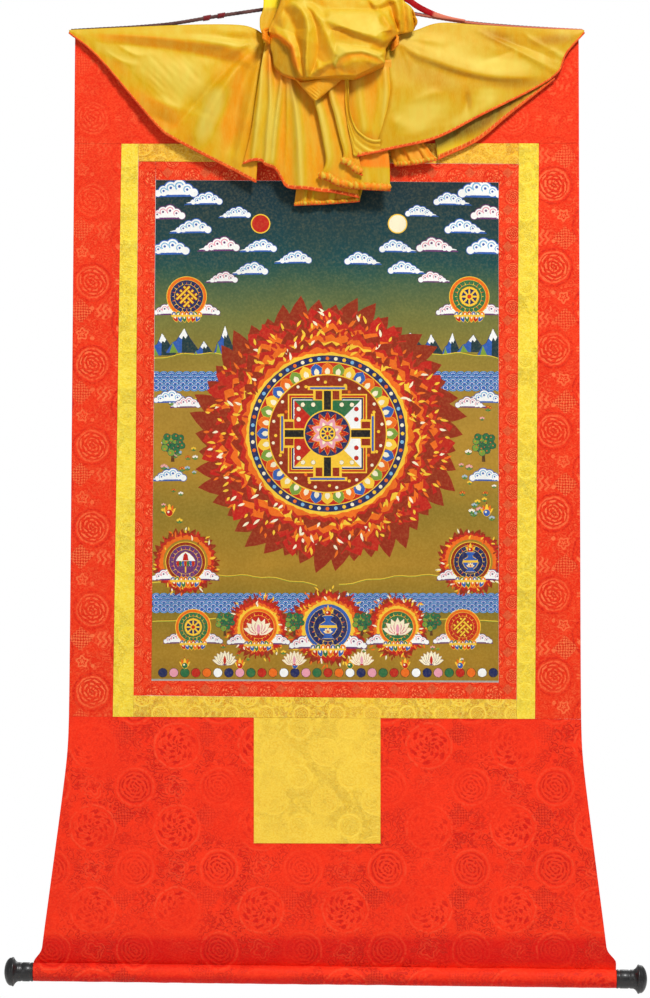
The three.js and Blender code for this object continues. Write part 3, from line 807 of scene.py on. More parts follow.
def knob_profile(start, neck_length):
    """(r, h) points from the socket for the rod, over the grooved neck and the flange, to the domed end."""
    profile = [(0, start + KNOB_SOCKET), (KNOB_BORE, start + KNOB_SOCKET), (KNOB_BORE, start + 0.3),
               (KNOB_BORE + 0.3, start), (KNOB_NECK - 0.5, start), (KNOB_NECK - 0.1, start + 0.2),
               (KNOB_NECK, start + 0.6)]
    profile += [(KNOB_NECK - deep, start + neck_length * min(at, 0.98)) for at, deep in GROOVES]
    profile += [(mix(KNOB_NECK, KNOB_FLANGE - KNOB_RIM, t**2.2), start + neck_length + KNOB_FLARE * t)
                for t in np.linspace(0.02, 1, 9)]
    crown = start + neck_length + KNOB_FLARE + 2 * KNOB_RIM
    profile += [(KNOB_FLANGE - KNOB_RIM * (1 - math.cos(a)), crown - KNOB_RIM + KNOB_RIM * math.sin(a))
                for a in np.radians(np.linspace(-60, 60, 7))]
    profile += [(KNOB_FLANGE * 0.975 * math.cos(a), crown + KNOB_DOME * math.sin(a))
                for a in np.radians([14, 22, 32, 42, 52, 62, 72, 81, 87])]
    return [*profile, (0, crown + KNOB_DOME)]


def make_rod_and_knobs():
    lacquer = black_lacquer()
    for name, (sign, neck_length) in KNOBS.items():
        shape = Shape()
        shape.add(*lathe(knob_profile(abs(SLEEVE_ENDS[sign > 0]) + 0.3, neck_length), sign))
        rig.replaces(shape.build(name + "_turned", [lacquer], "black_lacquer", 50), name)
    rod = frame["nodes"]["weight_rod"]
    rod.data.materials.clear()
    rod.data.materials.append(rod_wood())


make_rod_and_knobs()


# ---------------------------------------------------------------- cord and ribbon

CORD_RADIUS = 1.8
CORD_ROUTE = [
    (-236, 0, -27.4), (-212, 0, -26), (-180, 0, -24.2), (-152, 0, -21.9), (-136, 0, -19.8), (-113, 0, -15.9),
    (-99, 0, -13.6), (-76, 0, -10.2), (-49, 0, -6.2), (-25, 0, -2.2), (-8, 0, 0.9), (0, 0, 1.8), (8, 0, 0.9),
    (25, 0, -2.4), (49, 0, -6.6), (66, 0, -9.5), (81, 0, -12), (108, 0, -16.6), (135, 0, -20.6),
    (172, 0, -23.8), (204, 0, -25.8), (234, 0, -27.4),
]
CORD_KNOTS = (-112, -98.5)  # x of the whippings on the cord
RIBBON_WIDTH, RIBBON_THICKNESS = 5.4, 0.8
RIBBON_ROUTE = [
    (126, -2.9, -18.4), (112, -2.9, -16.1), (102, -2.7, -13.9), (95, -1.4, -11.4), (88, 1.2, -8),
    (81, 4.2, -3.6), (75, 6.2, 1), (67, 7.4, 5), (57, 7.4, 8),
]


def in_metres(points):
    return [tuple(float(c) * MM for c in p) for p in points]


def cord_yarn(name, base, dark, light, reflection_colour=None):
    """Spun yarn. reflection_colour is a painted pale pink reflection along the lower front of the hanging
    cord's right half.
    """
    m = Material(name, Specular_IOR_Level=0.25, Sheen_Weight=0.1, Sheen_Roughness=0.5)
    fibres = m.noise(0.9, 3.0, (0.35, 1, 1), 0.6, 0.6)
    colour = m.blend(m.noise(11).over(0.5, 0.4), srgb(*base), srgb(*dark))
    # Painted reflection: pale pink along the lower front of the cord's right half.
    if reflection_colour:
        along = (m.x - 119) * (1 / 53)
        middle = (m.x - 66) * -0.135 - 9.5 - (1 - along * along) * 1.8
        share = (1 - (m.z - middle).over(1.0, 0.5)) * m.x.over(76, 16)
        colour = m.blend(share * (fibres * 0.4 + 0.7), colour, srgb(*reflection_colour))
    colour = m.blend(fibres.over(0.58, 0.25) * 0.4, colour, srgb(*light))
    return m.finish(colour, 0.72 + fibres * 0.15, fibres, 0.2)


def make_cord():
    yarn = cord_yarn("cord_yarn", (98, 62, 58), (58, 32, 34), (142, 104, 96), (214, 116, 92))
    whipping = cord_yarn("cord_whipping", (132, 22, 30), (84, 10, 18), (180, 60, 60))
    path = evenly(CORD_ROUTE, 460)
    strands = lambda a: 0.86 + 0.14 * np.abs(np.cos(1.5 * a))
    twisted, wraps = Shape(), Shape()
    twisted.add(*tube(path, CORD_RADIUS, 18, strands, 0.55))
    cord = twisted.build("hanging_cord_twisted", [yarn], "cord", 89)
    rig.replaces(cord, "hanging_cord")
    turn = np.linspace(0, 5 * TURN, 80)
    around = np.stack([0.17 * np.cos(turn), np.sin(turn), np.cos(turn)], 1) * (CORD_RADIUS + 0.25)
    for x in CORD_KNOTS:
        middle = np.argmin(np.abs(path[:, 0] - x))
        wraps.add(*tube(evenly(path[middle - 3:middle + 4], 80) + around, 0.62, 8))
    knots = wraps.build("cord_whippings", [whipping], "cord", 89)
    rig.cord(cord, exit=in_metres(CORD_ROUTE)[0], length=0.478, diameter=2 * CORD_RADIUS * MM,
            far_end="object", stiffness="limp", lay="taut", path=in_metres(evenly(CORD_ROUTE, 90)),
            with_pieces=[knots])


def ribbon_satin(name, base, dark, light):
    """Ribbed red satin, with a painted pale pink reflection where it lies along the cord."""
    m = Material(name, Specular_IOR_Level=0.3, Specular_Tint=(1.0, 0.5, 0.45))
    ribs = ((m.x + m.z * 0.45) * 9).sin() * 0.5 + 0.5
    soft = m.noise(6)
    colour = m.blend(soft.over(0.5, 0.5) * 0.5, srgb(*base), srgb(*dark))
    colour = m.blend(ribs * 0.14, colour, srgb(*light))
    # Painted reflection: pale pink towards the ribbon's end, along the cord.
    colour = m.blend((m.x - m.z * 0.3).over(100.5, 2.5), colour, srgb(214, 118, 92))
    return m.finish(colour, 0.5 + soft * 0.2, ribs, 0.06)


def make_ribbon():
    red = ribbon_satin("ribbon_satin", (176, 0, 16), (120, 0, 10), (220, 30, 36))
    edge = ribbon_satin("ribbon_selvedge", (140, 6, 14), (110, 0, 8), (206, 110, 96))
    path = evenly(RIBBON_ROUTE, 70)
    across = unit(np.cross(np.gradient(path, axis=0), (0.0, 1.0, 0.0)))
    across *= np.sign(across[:, 2:])
    width = RIBBON_WIDTH * (0.28 + 0.72 * smooth(124, 88, path[:, 0]))
    place = np.linspace(-0.5, 0.5, 9)[None, :, None] * width[:, None, None]
    forward = 0.25 * np.sin(path[:, :1] / 5) - 0.5 * np.cos(np.linspace(-1.3, 1.3, 9))
    grid = path[:, None] + across[:, None] * place + forward[..., None] * (0, 1, 0)
    verts, faces, slots, _ = slab(grid[::-1], RIBBON_THICKNESS)
    shape = Shape()
    shape.add(verts, faces, [int(s == EDGE) for s in slots])
    ribbon = shape.build("tie_ribbon_satin", [red, edge], "ribbon", 89)
    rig.replaces(ribbon, "tie_ribbon")
    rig.cord(ribbon, exit=in_metres(RIBBON_ROUTE)[0], length=0.078, diameter=RIBBON_WIDTH * MM,
            far_end="object", stiffness="limp", lay="taut", path=in_metres(evenly(RIBBON_ROUTE, 40)))


make_cord()
make_ribbon()


# ---------------------------------------------------------------- veil

SATIN = 0.7  # thickness
crumple = Noise(23)


def from_line(points, x, z):
    """For each (x, z): its distance from a smooth line, 1 or -1 for left or right of it, and how far
    along."""
    line = evenly(points, 30 if len(points) > 2 else 2)
    a, d = line[:-1], np.diff(line, axis=0)
    rx, rz = x[..., None] - a[:, 0], z[..., None] - a[:, 1]
    t = np.clip((rx * d[:, 0] + rz * d[:, 1]) / (d**2).sum(1), 0, 1)
    ox, oz = rx - t * d[:, 0], rz - t * d[:, 1]
    distance = np.hypot(ox, oz)
    k = distance.argmin(-1)[..., None]
    nearest = lambda values: np.take_along_axis(values, k, -1)[..., 0]
    return nearest(distance), np.sign(nearest(d[:, 0] * oz - d[:, 1] * ox)), (k[..., 0] + nearest(t)) / len(a)


def relief(rows, x, z, spread=1.0):
    """How far a table of folds lifts the cloth forward. spread widens them."""
    total = np.zeros_like(x)
    for points, heights, left, right in rows:
        distance, side, share = from_line(points, x, z)
        height = np.interp(share, np.linspace(0, 1, len(heights)), heights)
        total += height * np.exp(-(distance / np.where(side > 0, left, right) / spread) ** 1.25)
    return total


def drawn_in(x, z, centre, count, height, reach):
    """Small pleats that fan out from a gathered point and die away from it."""
    dx, dz = x - centre[0], z - centre[1]
    far = np.hypot(dx, dz)
    pleats = height * np.sin(np.arctan2(dz, dx) * count + far * 0.02)
    return pleats * np.exp(-(far / reach) ** 1.3) * smooth(0, 8, far)


GATHER_LEFT, GATHER_RIGHT = (-59, -32), (62, -37)

WING_LEFT_TOP = [(-238, -27), (-136, -22.4), (-86, -22.1), (-68, -25.6), (-57, -33)]
WING_LEFT_HEM = [(-238, -29.5), (-210, -53), (-159, -113), (-139, -128.8), (-88.3, -155.5), (-66, -167.4)]
WING_RIGHT_TOP = [(53, -34), (64, -32.4), (80, -28), (103, -20.8), (140, -22.4), (198, -25.8), (235.5, -27)]
WING_RIGHT_HEM = [
    (43, -141), (60, -137), (99.4, -127), (140.5, -105.8), (189.5, -81), (211, -66), (219, -48.4),
    (235.5, -29.4),
]
# A row of a table of folds: a line of (x, z) points, the heights along it, and how far the fold reaches to
# the left and to the right of its own direction.
LEFT_FOLDS = [
    ([(-224, -29.9), (-185, -32.5), (-150, -35), (-115, -39.6), (-80, -47)], (0, 2.2, 3, 3, 2), 11, 4.5),
    ([(-221, -38), (-157, -43.5), (-118, -50), (-84, -58)], (0, -2, -2.2, -2), 4, 13),
    ([(-59, -30), (-80, -28), (-101, -28), (-112, -31)], (2, 2.6, 2, 0), 4, 4),
    ([(-62, -33.5), (-80, -36), (-106, -33.5)], (-2, -3, 0), 3, 3),
    ([(-62, -35.5), (-82, -42), (-132, -33)], (2, 2.4, 0), 3, 4),
    ([(-60, -34), (-83, -55.4), (-104, -76.5), (-125.5, -101), (-141, -119)], (-1, -3.5, -4, -4, -1), 2.2, 5),
    ([(-60, -37), (-80, -58), (-97, -82), (-110, -105), (-122, -126)], (1, 4.6, 5.4, 5, 2.5), 8, 6),
    ([(-63, -42), (-78, -76), (-84, -106), (-88, -136)], (-1, -2.6, -3.4, -2), 6, 7),
    ([(-62, -44), (-69, -84), (-77, -120), (-84, -148)], (1, 2.8, 3.2, 2), 5, 4),
    ([(-171, -87), (-150, -96), (-126, -103)], (0, 2.4, 1), 5, 18),
    ([(-166, -104), (-150, -111), (-136, -116)], (0, -2, 0), 6, 6),
    ([(-205, -46), (-190, -56), (-172, -60)], (0, 1.2, 0), 2, 3),
    ([(-196, -40), (-176, -50), (-160, -48)], (0, 1.4, 0), 2.2, 2.2),
]
RIGHT_FOLDS = [
    ([(62, -38), (80, -50), (108, -60.7), (129, -66.8), (150, -71), (177, -71.6), (201, -69)],
     (1, 2.8, 3, 3, 2.7, 2.2, 0), 10, 3.2),
    ([(68, -48), (95, -60), (125, -70), (150, -74.5), (180, -75)], (0, -1.2, -1.4, -1.4, 0), 2.5, 9),
    ([(136, -27), (152, -35), (173, -45.7), (192.5, -56.3), (208, -65)], (0.4, 1.8, 2, 2, 1.2), 2, 2),
    ([(132.6, -60.7), (173, -45.7)], (0, -1.3), 5, 2),
    ([(180, -29), (187, -36), (201, -44)], (0.4, 1.6, 0.6), 1.8, 1.8),
    ([(205, -46), (216, -51)], (1.6, 1), 1.6, 1.6),
    ([(131, -84), (128, -93), (126, -104)], (-0.5, -2.4, -0.5), 3, 3),
    ([(80, -92), (97, -86)], (0.4, 1.2), 3, 5),
    ([(60, -104), (62, -112), (72, -118)], (0.5, 2, 0.6), 5, 9),
    ([(66, -34), (84, -36), (112, -42)], (0.6, 2, 0), 5, 5),
    ([(140, -30), (165, -38), (190, -47), (206, -54)], (0, -2.4, -3, -1), 12, 3),
]
# Painted light and shade on the wings' facets: x, z, half length, half width, turn in degrees, and the
# tone, below 0 for a painted straw-coloured highlight and above 0 for painted shade.
LEFT_LIGHT_AND_SHADE = [
    (-142, -72, 44, 20, -24, -1.2), (-208, -44, 16, 5, -35, -0.8), (-157, -103, 24, 10, -36, 1.1),
    (-109, -110, 29, 8, 68, -1.6), (-88, -106, 38, 7, 78, 0.9), (-104, -47, 34, 4.5, -11, 1),
    (-166, -37, 38, 4.5, -6, 0.7), (-118, -29, 26, 3, 2, 0.4), (-190, -62, 16, 6, -42, 0.5),
    (-100, -37, 26, 3, -10, -1),
]
RIGHT_LIGHT_AND_SHADE = [
    (160, -60, 30, 8, -3, -1.1), (107, -43, 32, 11, -12, -0.5), (157, -34, 18, 6, -18, 1),
    (208, -36, 19, 5, 4, 1), (172, -77, 32, 4.4, 2, 0.9), (92, -68, 34, 13, -24, 0.5),
    (84, -106, 26, 15, 22, -1.1), (146, -89, 15, 9, 30, -0.8), (129.5, -93, 11, 2.4, 100, 0.9),
    (214, -50, 7, 2.5, -25, -0.9), (95, -121, 30, 3, 14, 0.4), (125, -108, 26, 5, 28, -0.7),
]
TOWARDS_LIGHT = np.array([0.25, -0.67, 0.7])


def painted_light_and_shade(rows, x, z):
    """The sum of a table of painted light and shade at (x, z), each flat in its middle and crisp at its edge."""
    total = np.zeros_like(x)
    for cx, cz, long, wide, turn, tone in rows:
        c, s = math.cos(math.radians(turn)), math.sin(math.radians(turn))
        along, across = (x - cx) * c + (z - cz) * s, (z - cz) * c - (x - cx) * s
        total += tone * np.exp(-(((along / long) ** 2 + (across / wide) ** 2) ** 1.5))
    return total


def softened(grid, passes):
    """The grid's values, each drawn towards its neighbours' mean."""
    for _ in range(passes):
        padded = np.pad(grid, ((1, 1), (1, 1), (0, 0)), mode="edge")
        around = padded[:-2, 1:-1] + padded[2:, 1:-1] + padded[1:-1, :-2] + padded[1:-1, 2:]
        grid = 0.4 * grid + 0.15 * around
    return grid


def turned(grid):
    """How far the satin turns up to the light, or away from it, at each point of a grid: from 1 to -1."""
    extra = -normals_of(grid) @ TOWARDS_LIGHT + TOWARDS_LIGHT[1]
    return softened(np.clip(np.where(extra > 0, extra / 0.22, extra / 0.5), -1, 1)[..., None], 2)[..., 0]


def hem_puckers(distance, along, spacing, height, reach):
    return height * np.sin(along * TURN / spacing + 2 * crumple(along / 31, 3)) * np.exp(-distance / reach)


def wing(top, hem, gather_at, folds, gather, pleats, columns=100, rows=54):
    """A wing of the veil between its sewn top edge and its hem. gather_at is 1 if the right end is gathered,
    and pleats says how small pleats fan out from there."""
    top, hem = evenly(top, columns + 1)[None], evenly(hem, columns + 1)[None]
    u, v = across_and_down(columns, rows)
    x, z = mix(top[..., 0], hem[..., 0], v), mix(top[..., 1], hem[..., 1], v)
    near = 1 - np.abs(u - gather_at)
    if gather_at == 0:
        # The gathered side runs in at first, out again, and rolls under.
        x = x + np.interp(v, (0, 0.2, 0.45, 0.62, 0.85, 1), (0, 0, 7, 7, 1, 0)) * (1 - u) ** 6
    free = np.sin(math.pi / 2 * np.clip(v * 1.6, 0, 1))
    y = -2.6 - 8 * free * np.sqrt(near) - gather * near**4
    folded = np.clip(v * 7, 0, 1) * near**0.3
    lift = 1.35 * relief(folds, x, z) * folded + drawn_in(x, z, *pleats) * folded
    lift += 0.35 * crumple(x / 19, z / 14) * folded + 0.12 * crumple(x / 5 + 9, z / 4.2) * folded
    slanted = np.exp(-((x + 145) / 26) ** 2 - ((z + 70) / 20) ** 2)
    lift += 0.5 * crumple((x + z) / 3.4 + 5, (x - z) / 26) * slanted
    height_left = (1 - v) * np.linalg.norm(top - hem, axis=2)
    along = (hem[..., 0] + 300) * 1.1 + 0 * v
    lift += hem_puckers(height_left, along, 9.5, 0.45, 7) + hem_puckers(height_left, along, 5.3, 0.35, 3.5)
    if gather_at == 0:
        y = y + 5 * np.exp(-(u * 210 / 2.6) ** 2) * smooth(0.05, 0.3, v)
    return np.stack([x, y - lift, z], axis=2)


def hanging(left, right, foot, rows, columns, forward, folds, sway=0.6, valley=4.0, ruffle=0.4):
    """A layer of the veil that hangs between two edges down to its foot, and how deep in a fold each point
    is. All are lines of (x, z) points, and folds is a table of ridges for relief."""
    u, v = across_and_down(columns, rows)
    left, right, foot = evenly(left, rows + 1), evenly(right, rows + 1), evenly(foot, columns + 1)
    bend = (foot - mix(left[-1][None], right[-1][None], u.T))[None] * (v**2)[..., None]
    x, z = np.moveaxis(mix(left[:, None], right[:, None], u[..., None]) + bend, 2, 0)
    lift = relief(folds, x, z, 1.05 + 0.7 * v)
    ruck = 0.3 * crumple(x / 8, z / 24 + forward) + 0.14 * crumple(x / 3.5 + 3, z / 9)
    from_foot = (1 - v) * (z[:1] - z[-1:])
    # Painted shade and light: warm in the troughs, straw-coloured on the ridges, and warmer close to the foot.
    depth = np.clip(1.35 - 2.2 * lift / valley, -1, 1) + 0.4 * np.exp(-from_foot / 3)
    lift = lift + ruffle * np.sin(x * 1.25 + 2 * crumple(x / 11, 5.0)) * np.exp(-from_foot / 4)
    below = smooth(0, 0.15, v)
    y = -forward - lift * below - (ruck + sway * np.sin(np.pi * v)) * below
    return np.stack([x, y, z], axis=2), depth


FAN_RIDGES = [
    ([(-60, -38), (-61.8, -80), (-65, -112.5), (-69, -147)], (2.5, 4.4, 4.8, 3.6), 3.4, 2.6),
    ([(-53.4, -38), (-53.6, -62), (-53, -95), (-55.5, -125), (-57, -150)], (3, 4.4, 4.6, 4.6, 3.6), 2.5, 2.1),
    ([(-43, -56), (-43, -75), (-45.4, -95), (-48.5, -119), (-51, -150)], (3, 4.4, 4.6, 4.2, 3), 2.4, 1.9),
    ([(-37.2, -70), (-37.4, -87.4), (-37.8, -125), (-40, -160)], (2, 2, 1.2, 0.6), 1.6, 1.4),
    ([(-35, -60), (-33.4, -81), (-29.6, -100), (-27.1, -125), (-24.6, -174)], (4, 4.6, 5, 5, 4.2), 3.0, 3.6),
    ([(-22, -70), (-19, -110), (-14, -140), (-12, -174)], (0, 0.8, 1, 0.8), 2.4, 2.4),
    ([(0, -120), (2, -174)], (1, 1), 5, 5),
]
FAN_LEFT = [(-57, -37), (-61, -60), (-66, -90), (-70.5, -120), (-78, -150.4)]
FAN_RIGHT = [(8, -37), (12, -80), (18, -120), (24, -150), (28.5, -181.5)]
FAN_FOOT = [
    (-78, -150.4), (-68.5, -147.8), (-60.5, -148.3), (-57.2, -151.8), (-48.5, -155.4), (-42.2, -165),
    (-39.2, -170.6), (-33.4, -173.1), (-19.5, -173.9), (-8.2, -175.6), (5.7, -177), (28.5, -181.5),
]
# Knife pleats that lie one over another to the right of the fan, each with its light folded edge, and the
# opening to the right of them.
FIRST_EDGE = [(-17, -58), (-13.2, -92.4), (-9.5, -106.3), (-4.6, -131.5), (-2.2, -150), (-8.5, -163.6)]
FIRST_FOOT = [(-8.5, -163.6), (0, -166.2), (11, -171.6), (31, -174.2), (57, -175.5)]
SECOND_EDGE = [(-3, -58), (0.6, -87.4), (5.7, -106.3), (10.7, -127.7), (14.2, -142), (12, -150.2)]
SECOND_FOOT = [(12, -150.2), (18, -152.6), (25, -158.6), (31.5, -161.8)]
LOOP = [(18.6, -60), (18.9, -77.3), (19.5, -100), (24.6, -116.4), (32.2, -125.2), (41, -129.4), (48, -129.5)]
LOOP_OUTER = [(15.6, -60), (15.6, -85), (16.6, -106), (19.6, -124), (22.6, -138), (24.6, -144.3)]


def fan():
    return hanging(FAN_LEFT, FAN_RIGHT, FAN_FOOT, 56, 108, 12.6, FAN_RIDGES)


def first_pleat():
    folds = [([(x + 2.6, z) for x, z in FIRST_EDGE], (2.4, 3, 3.2, 3.2, 2.6, 1.4), 3.0, 2.6),
             ([(26, -100), (33, -140), (36, -175)], (0.3, 0.9, 0.9), 3, 6),
             ([(50, -130), (52, -175)], (0.6, 0.8), 4, 4), ([(8, -110), (14, -172)], (0.5, 0.9), 2, 3)]
    right = [(24, -58), (44, -110), (55, -140), (57, -175.5)]
    return hanging(FIRST_EDGE, right, FIRST_FOOT, 50, 46, 16.6, folds, 0.4, 2.6, 0.9)


def second_pleat():
    folds = [([(x + 2.4, z) for x, z in SECOND_EDGE], (2.2, 2.6, 2.8, 2.8, 2.2, 1), 2.6, 2.4)]
    right = [(17, -58), (18, -100), (24, -125), (31.5, -161.8)]
    return hanging(SECOND_EDGE, right, SECOND_FOOT, 44, 28, 19.6, folds, 0.4, 2.4, 0.9)


def swag():
    """The cloth seen through the opening."""
    folds = [([(30, -60), (29, -90), (33, -120)], (1.6, 2, 1.6), 3, 4),
             ([(44, -60), (47, -90), (42, -120)], (1, 1.4, 1), 5, 3),
             ([(52, -64), (53, -90), (48, -124)], (2, 2, 1), 2, 2)]
    left = [(17, -56), (18, -90), (19, -120), (24, -134)]
    right = [(58, -56), (58, -90), (56, -118), (50, -134)]
    return hanging(left, right, [left[-1], right[-1]], 32, 30, 18.4, folds, -0.6, 2.6)


def loop_rim(rows=14, columns=56):
    """The front cloth's folded edge round the opening, and the cloth from there down to its hem."""
    u, v = across_and_down(columns, rows)
    inner, outer = evenly(LOOP, columns + 1), evenly([*LOOP_OUTER, (36, -142.4), (48, -140)], columns + 1)
    outer = spline(outer, np.interp(u[0], (0, 0.62, 1), (0, 0.72, 1)) * columns)
    flat = mix(inner[None], outer[None], v[..., None])
    away = v * np.linalg.norm(inner - outer, axis=1)[None]
    roll = 2.2 * np.exp(-((away - 1.3) / 1.6) ** 2)
    y = -21.9 - roll + 0.5 * np.sin(away * 0.9) * smooth(2, 5, away)
    # The tint is less warm along the roll, painted light on the folded edge, with painted warm shade beside it.
    return np.dstack([flat, y])[..., [0, 2, 1]], np.clip(0.5 - roll / 4, 0, 1) * 0.6


def hanging_layer(neck, foot, foot_z, y, pleats, depth, rows=30):
    """A pleated layer that hangs from the gather. neck and foot are the x of its sides there, and foot_z
    the heights along its foot."""
    u, v = across_and_down(int(pleats * 12), rows)
    x = mix(mix(*neck, u), mix(*foot, u), v) + 0.5 * depth * np.sin(2 * TURN * pleats * u) * v
    z = mix(-100, np.interp(u, np.linspace(0, 1, len(foot_z)), foot_z), v)
    pleat = np.cos(TURN * pleats * (u + 0.1 * crumple(u * 5 + y, v)))
    forward = mix(-8, y, np.minimum(1, v * 1.6)) + depth * pleat * np.minimum(1, v * 1.3)
    # The tint paints warm shade where the pleats lie back.
    return np.stack([x, forward, z], axis=2), 0.5 + 0.5 * pleat


UNDER_EDGE = [(101, -146), (137, -128.8), (165, -106), (208, -72)]


def under_layer(right_wing, rows=20, columns=70):
    """The cloth doubled back behind the right wing, from part of the way down it to its own lower edge."""
    start = right_wing[int(right_wing.shape[0] * 0.45)]
    picks = np.linspace(0.2, 0.86, columns + 1) * (len(start) - 1)
    start = between(start, np.arange(len(start)), picks) + (0, 5.5, 0)
    edge = evenly([(x, -5.0, z) for x, z in UNDER_EDGE], columns + 1)
    grid = mix(start[None], edge[None], across_and_down(columns, rows)[1][..., None])
    grid[..., 1] = np.minimum(grid[..., 1], -3.2) - 0.5 * crumple(grid[..., 0] / 15, grid[..., 2] / 12)
    return grid


BUNDLE = [  # left, right, y in the middle, z, y at the sides
    (-40, 54, 5, -20, 5), (-44, 57, 6.5, -4, 5), (-40, 56, 4, 12, 4), (-42, 58, -8, 18, -3),
    (-43, 62, -24, 13, -9), (-43, 68.5, -32, 2, -12), (-48, 80, -34, -14, -13), (-54, 79, -36, -28.5, -14),
    (-53, 63, -36, -34, -15), (-52.6, 53.5, -36, -48, -18), (-51, 53, -34, -58, -19),
    (-50, 52, -30, -69, -19),
    (-49, 51, -24, -73.4, -18.6),
]
LIP = [(-50, -60), (-45, -65), (-41, -68.3), (-31, -72), (-20.4, -73.6), (6, -72), (25, -72.2), (40, -65.2),
       (52, -59.5)]
# Each fold's line, as how warm the cloth is painted there, with painted warm shade above 0 and a painted
# straw highlight below 0, and (x, z, how far forward) along it. The cloth is flat between them.
CREASES = [
    (0.5, [(-41, 15, 14), (-14, 17, 14), (10, 17, 12), (36, 16, 10), (67, 15, 6)]),
    (0.6, [(-35, 2, 14), (-41, -4, 15), (-46, -10, 14), (-51, -18, 12), (-54, -26, 10), (-52, -29, 9)]),
    (0.9, [(-46, -29, 17), (-39, -35, 20), (-33, -41, 22), (-30, -52, 23), (-27, -64, 23), (-23, -72, 21)]),
    (0.3, [(-48, -31, 11), (-41, -37, 12), (-36, -42, 12), (-34, -52, 13), (-30, -64, 14), (-27, -71, 15)]),
    (0.3, [(-52, -33, 9), (-52, -49, 10), (-50, -60, 11), (-38, -68, 12), (-28, -72, 14)]),
    (0.5, [(-43, -13, 17), (-34, -15, 13), (-29, -24, 15)]),
    (0.1, [(-31, -1, 20), (-24, -7, 23), (-20, -14, 26), (-18, -25, 28), (-19, -37, 30), (-20, -52, 31),
           (-20, -64, 30), (-19, -73, 25)]),
    (0.6, [(-30, -29, 16), (-27, -39, 18), (-25, -50, 19), (-23, -60, 20), (-22, -70, 21)]),
    (0.1, [(-40, -24, 15), (-36, -31, 19), (-31, -41, 22), (-28, -50, 22)]),
    (0.6, [(-16, -8, 19), (-11, -22, 21), (-9, -38, 22), (-10, -51, 21), (-13, -62, 22)]),
    (0.1, [(-23, 0, 18), (-12, -10, 24), (-5, -23, 27), (1, -36, 29), (6, -48, 29), (7, -50, 28)]),
    (0.6, [(-8, -41, 23), (-2, -50, 24), (-3, -56, 24)]),
    (0.1, [(-17, -69, 24), (-9, -62, 27), (-3, -57, 27), (4, -55, 27)]),
    (0.8, [(-8, -69, 20), (0, -62, 22), (5, -60, 23)]),
    (0.5, [(-14, 0, 16), (-5, -10, 19), (-3, -14, 22)]),
    (0, [(-3, -17, 26), (3, -11, 23), (17, -10, 21), (31, -10, 20), (44, -12, 21)]),
    (0, [(44, -12, 21), (48, -22, 25), (51, -31, 27), (51, -36, 28)]),
    (0, [(-3, -17, 26), (10, -22, 30), (24, -27, 31), (36, -31, 31), (51, -36, 28)]),
    (0.6, [(3, -25, 26), (12, -27, 25), (24, -32, 25), (36, -36, 25), (48, -41, 24)]),
    (0.4, [(7, -38, 26), (18, -40, 26), (36, -42, 26), (51, -47, 24)]),
    (0.6, [(0, -6, 17), (23, -6, 15), (41, -6, 14)]),
    (-1.2, [(6, -58, 27), (9, -50, 30), (17, -46, 31), (31, -45, 31), (45, -49, 30), (53, -55, 27)]),
    (1.2, [(8, -58, 26), (11, -53, 28), (19, -49, 29), (31, -48, 29), (44, -52, 28), (51, -56, 26)]),
    (0.1, [(15, -59, 28), (23, -55, 30), (34, -54, 29), (44, -57, 28)]),
    (0.9, [(8, -61, 24), (14, -65, 25), (27, -66, 25), (40, -62, 24), (51, -58, 23)]),
    (0.2, [(12, -69, 24), (27, -69, 24), (44, -64, 22)]),
    (0.4, [(-23, -73, 20), (-9, -73, 20), (6, -72, 20), (24, -72, 21), (43, -66, 20), (53, -59, 18)]),
    (0.9, [(45, -6, 16), (51, -13, 24), (57, -22, 25), (60, -31, 22), (61, -37, 18)]),
    (0.3, [(48, -5, 13), (55, -11, 18), (60, -20, 18), (63, -29, 14), (64, -36, 10)]),
    (0.9, [(57, -1, 9), (59, -11, 10), (63, -19, 8)]),
    (0.1, [(62, 2, 16), (65, -7, 18), (66, -18, 17), (66, -30, 12)]),
    (0.7, [(68, 2, 9), (70, -7, 9), (71, -18, 8), (71, -30, 6)]),
    (0.1, [(73, 4, 13), (75, -4, 14), (75, -14, 14), (75, -29, 9)]),
    (0.5, [(75, 8, 4), (78, -7, 5), (80, -18, 5), (80, -29, 4)]),
    (0.3, [(37, 3, 14), (41, -1, 18), (45, -4, 17), (50, -1, 16), (55, 3, 14)]),
    (0.6, [(56, -45, 16), (53, -54, 20)]),
    (0.5, [(55, -39, 20), (52, -40, 22)]),
]
CHEEK = [(-53, -30), (-46.5, -29.5), (-39.5, -35.5), (-33.5, -41), (-31, -52), (-27.5, -64.5), (-24.5, -72.5)]


def creased(lines, x, z):
    """The depth and the painted warmth at (x, z): each facet between the lines is flat."""
    values, edges = {}, []
    for warm, line in lines:
        for px, pz, depth in line:
            values.setdefault((px, pz), (depth, warm))
        ids = [list(values).index(point[:2]) for point in line]
        edges += zip(ids, ids[1:])
    verts, _, faces, *_ = delaunay_2d_cdt([Vector(point) for point in values], edges, [], 0, 1e-4, True)
    place, given = np.array([tuple(v) for v in verts]), np.array(list(values), float)
    nearest = np.linalg.norm(place[:, None] - given[None], axis=2).argmin(1)
    values = np.array(list(values.values()), float)[nearest]
    out = np.zeros((*x.shape, 2))
    out[...] = (14, 0.5)
    for face in faces:
        (ax, az), (bx, bz), (cx, cz) = place[list(face)]
        whole = (bx - ax) * (cz - az) - (cx - ax) * (bz - az)
        s = ((x - ax) * (cz - az) - (cx - ax) * (z - az)) / whole
        t = ((bx - ax) * (z - az) - (x - ax) * (bz - az)) / whole
        inside = (s >= -1e-6) & (t >= -1e-6) & (s + t <= 1 + 1e-6)
        a, b, c = values[list(face)]
        out[inside] = a + s[inside][:, None] * (b - a) + t[inside][:, None] * (c - a)
    return out


def lowered(z):
    """How far the bundle's folds lie below where their tables put them: less towards the lip."""
    return mix(3.0, 5.0, smooth(-76, -58, z))


def lip_height(x):
    return np.interp(x, *np.array(LIP).T)


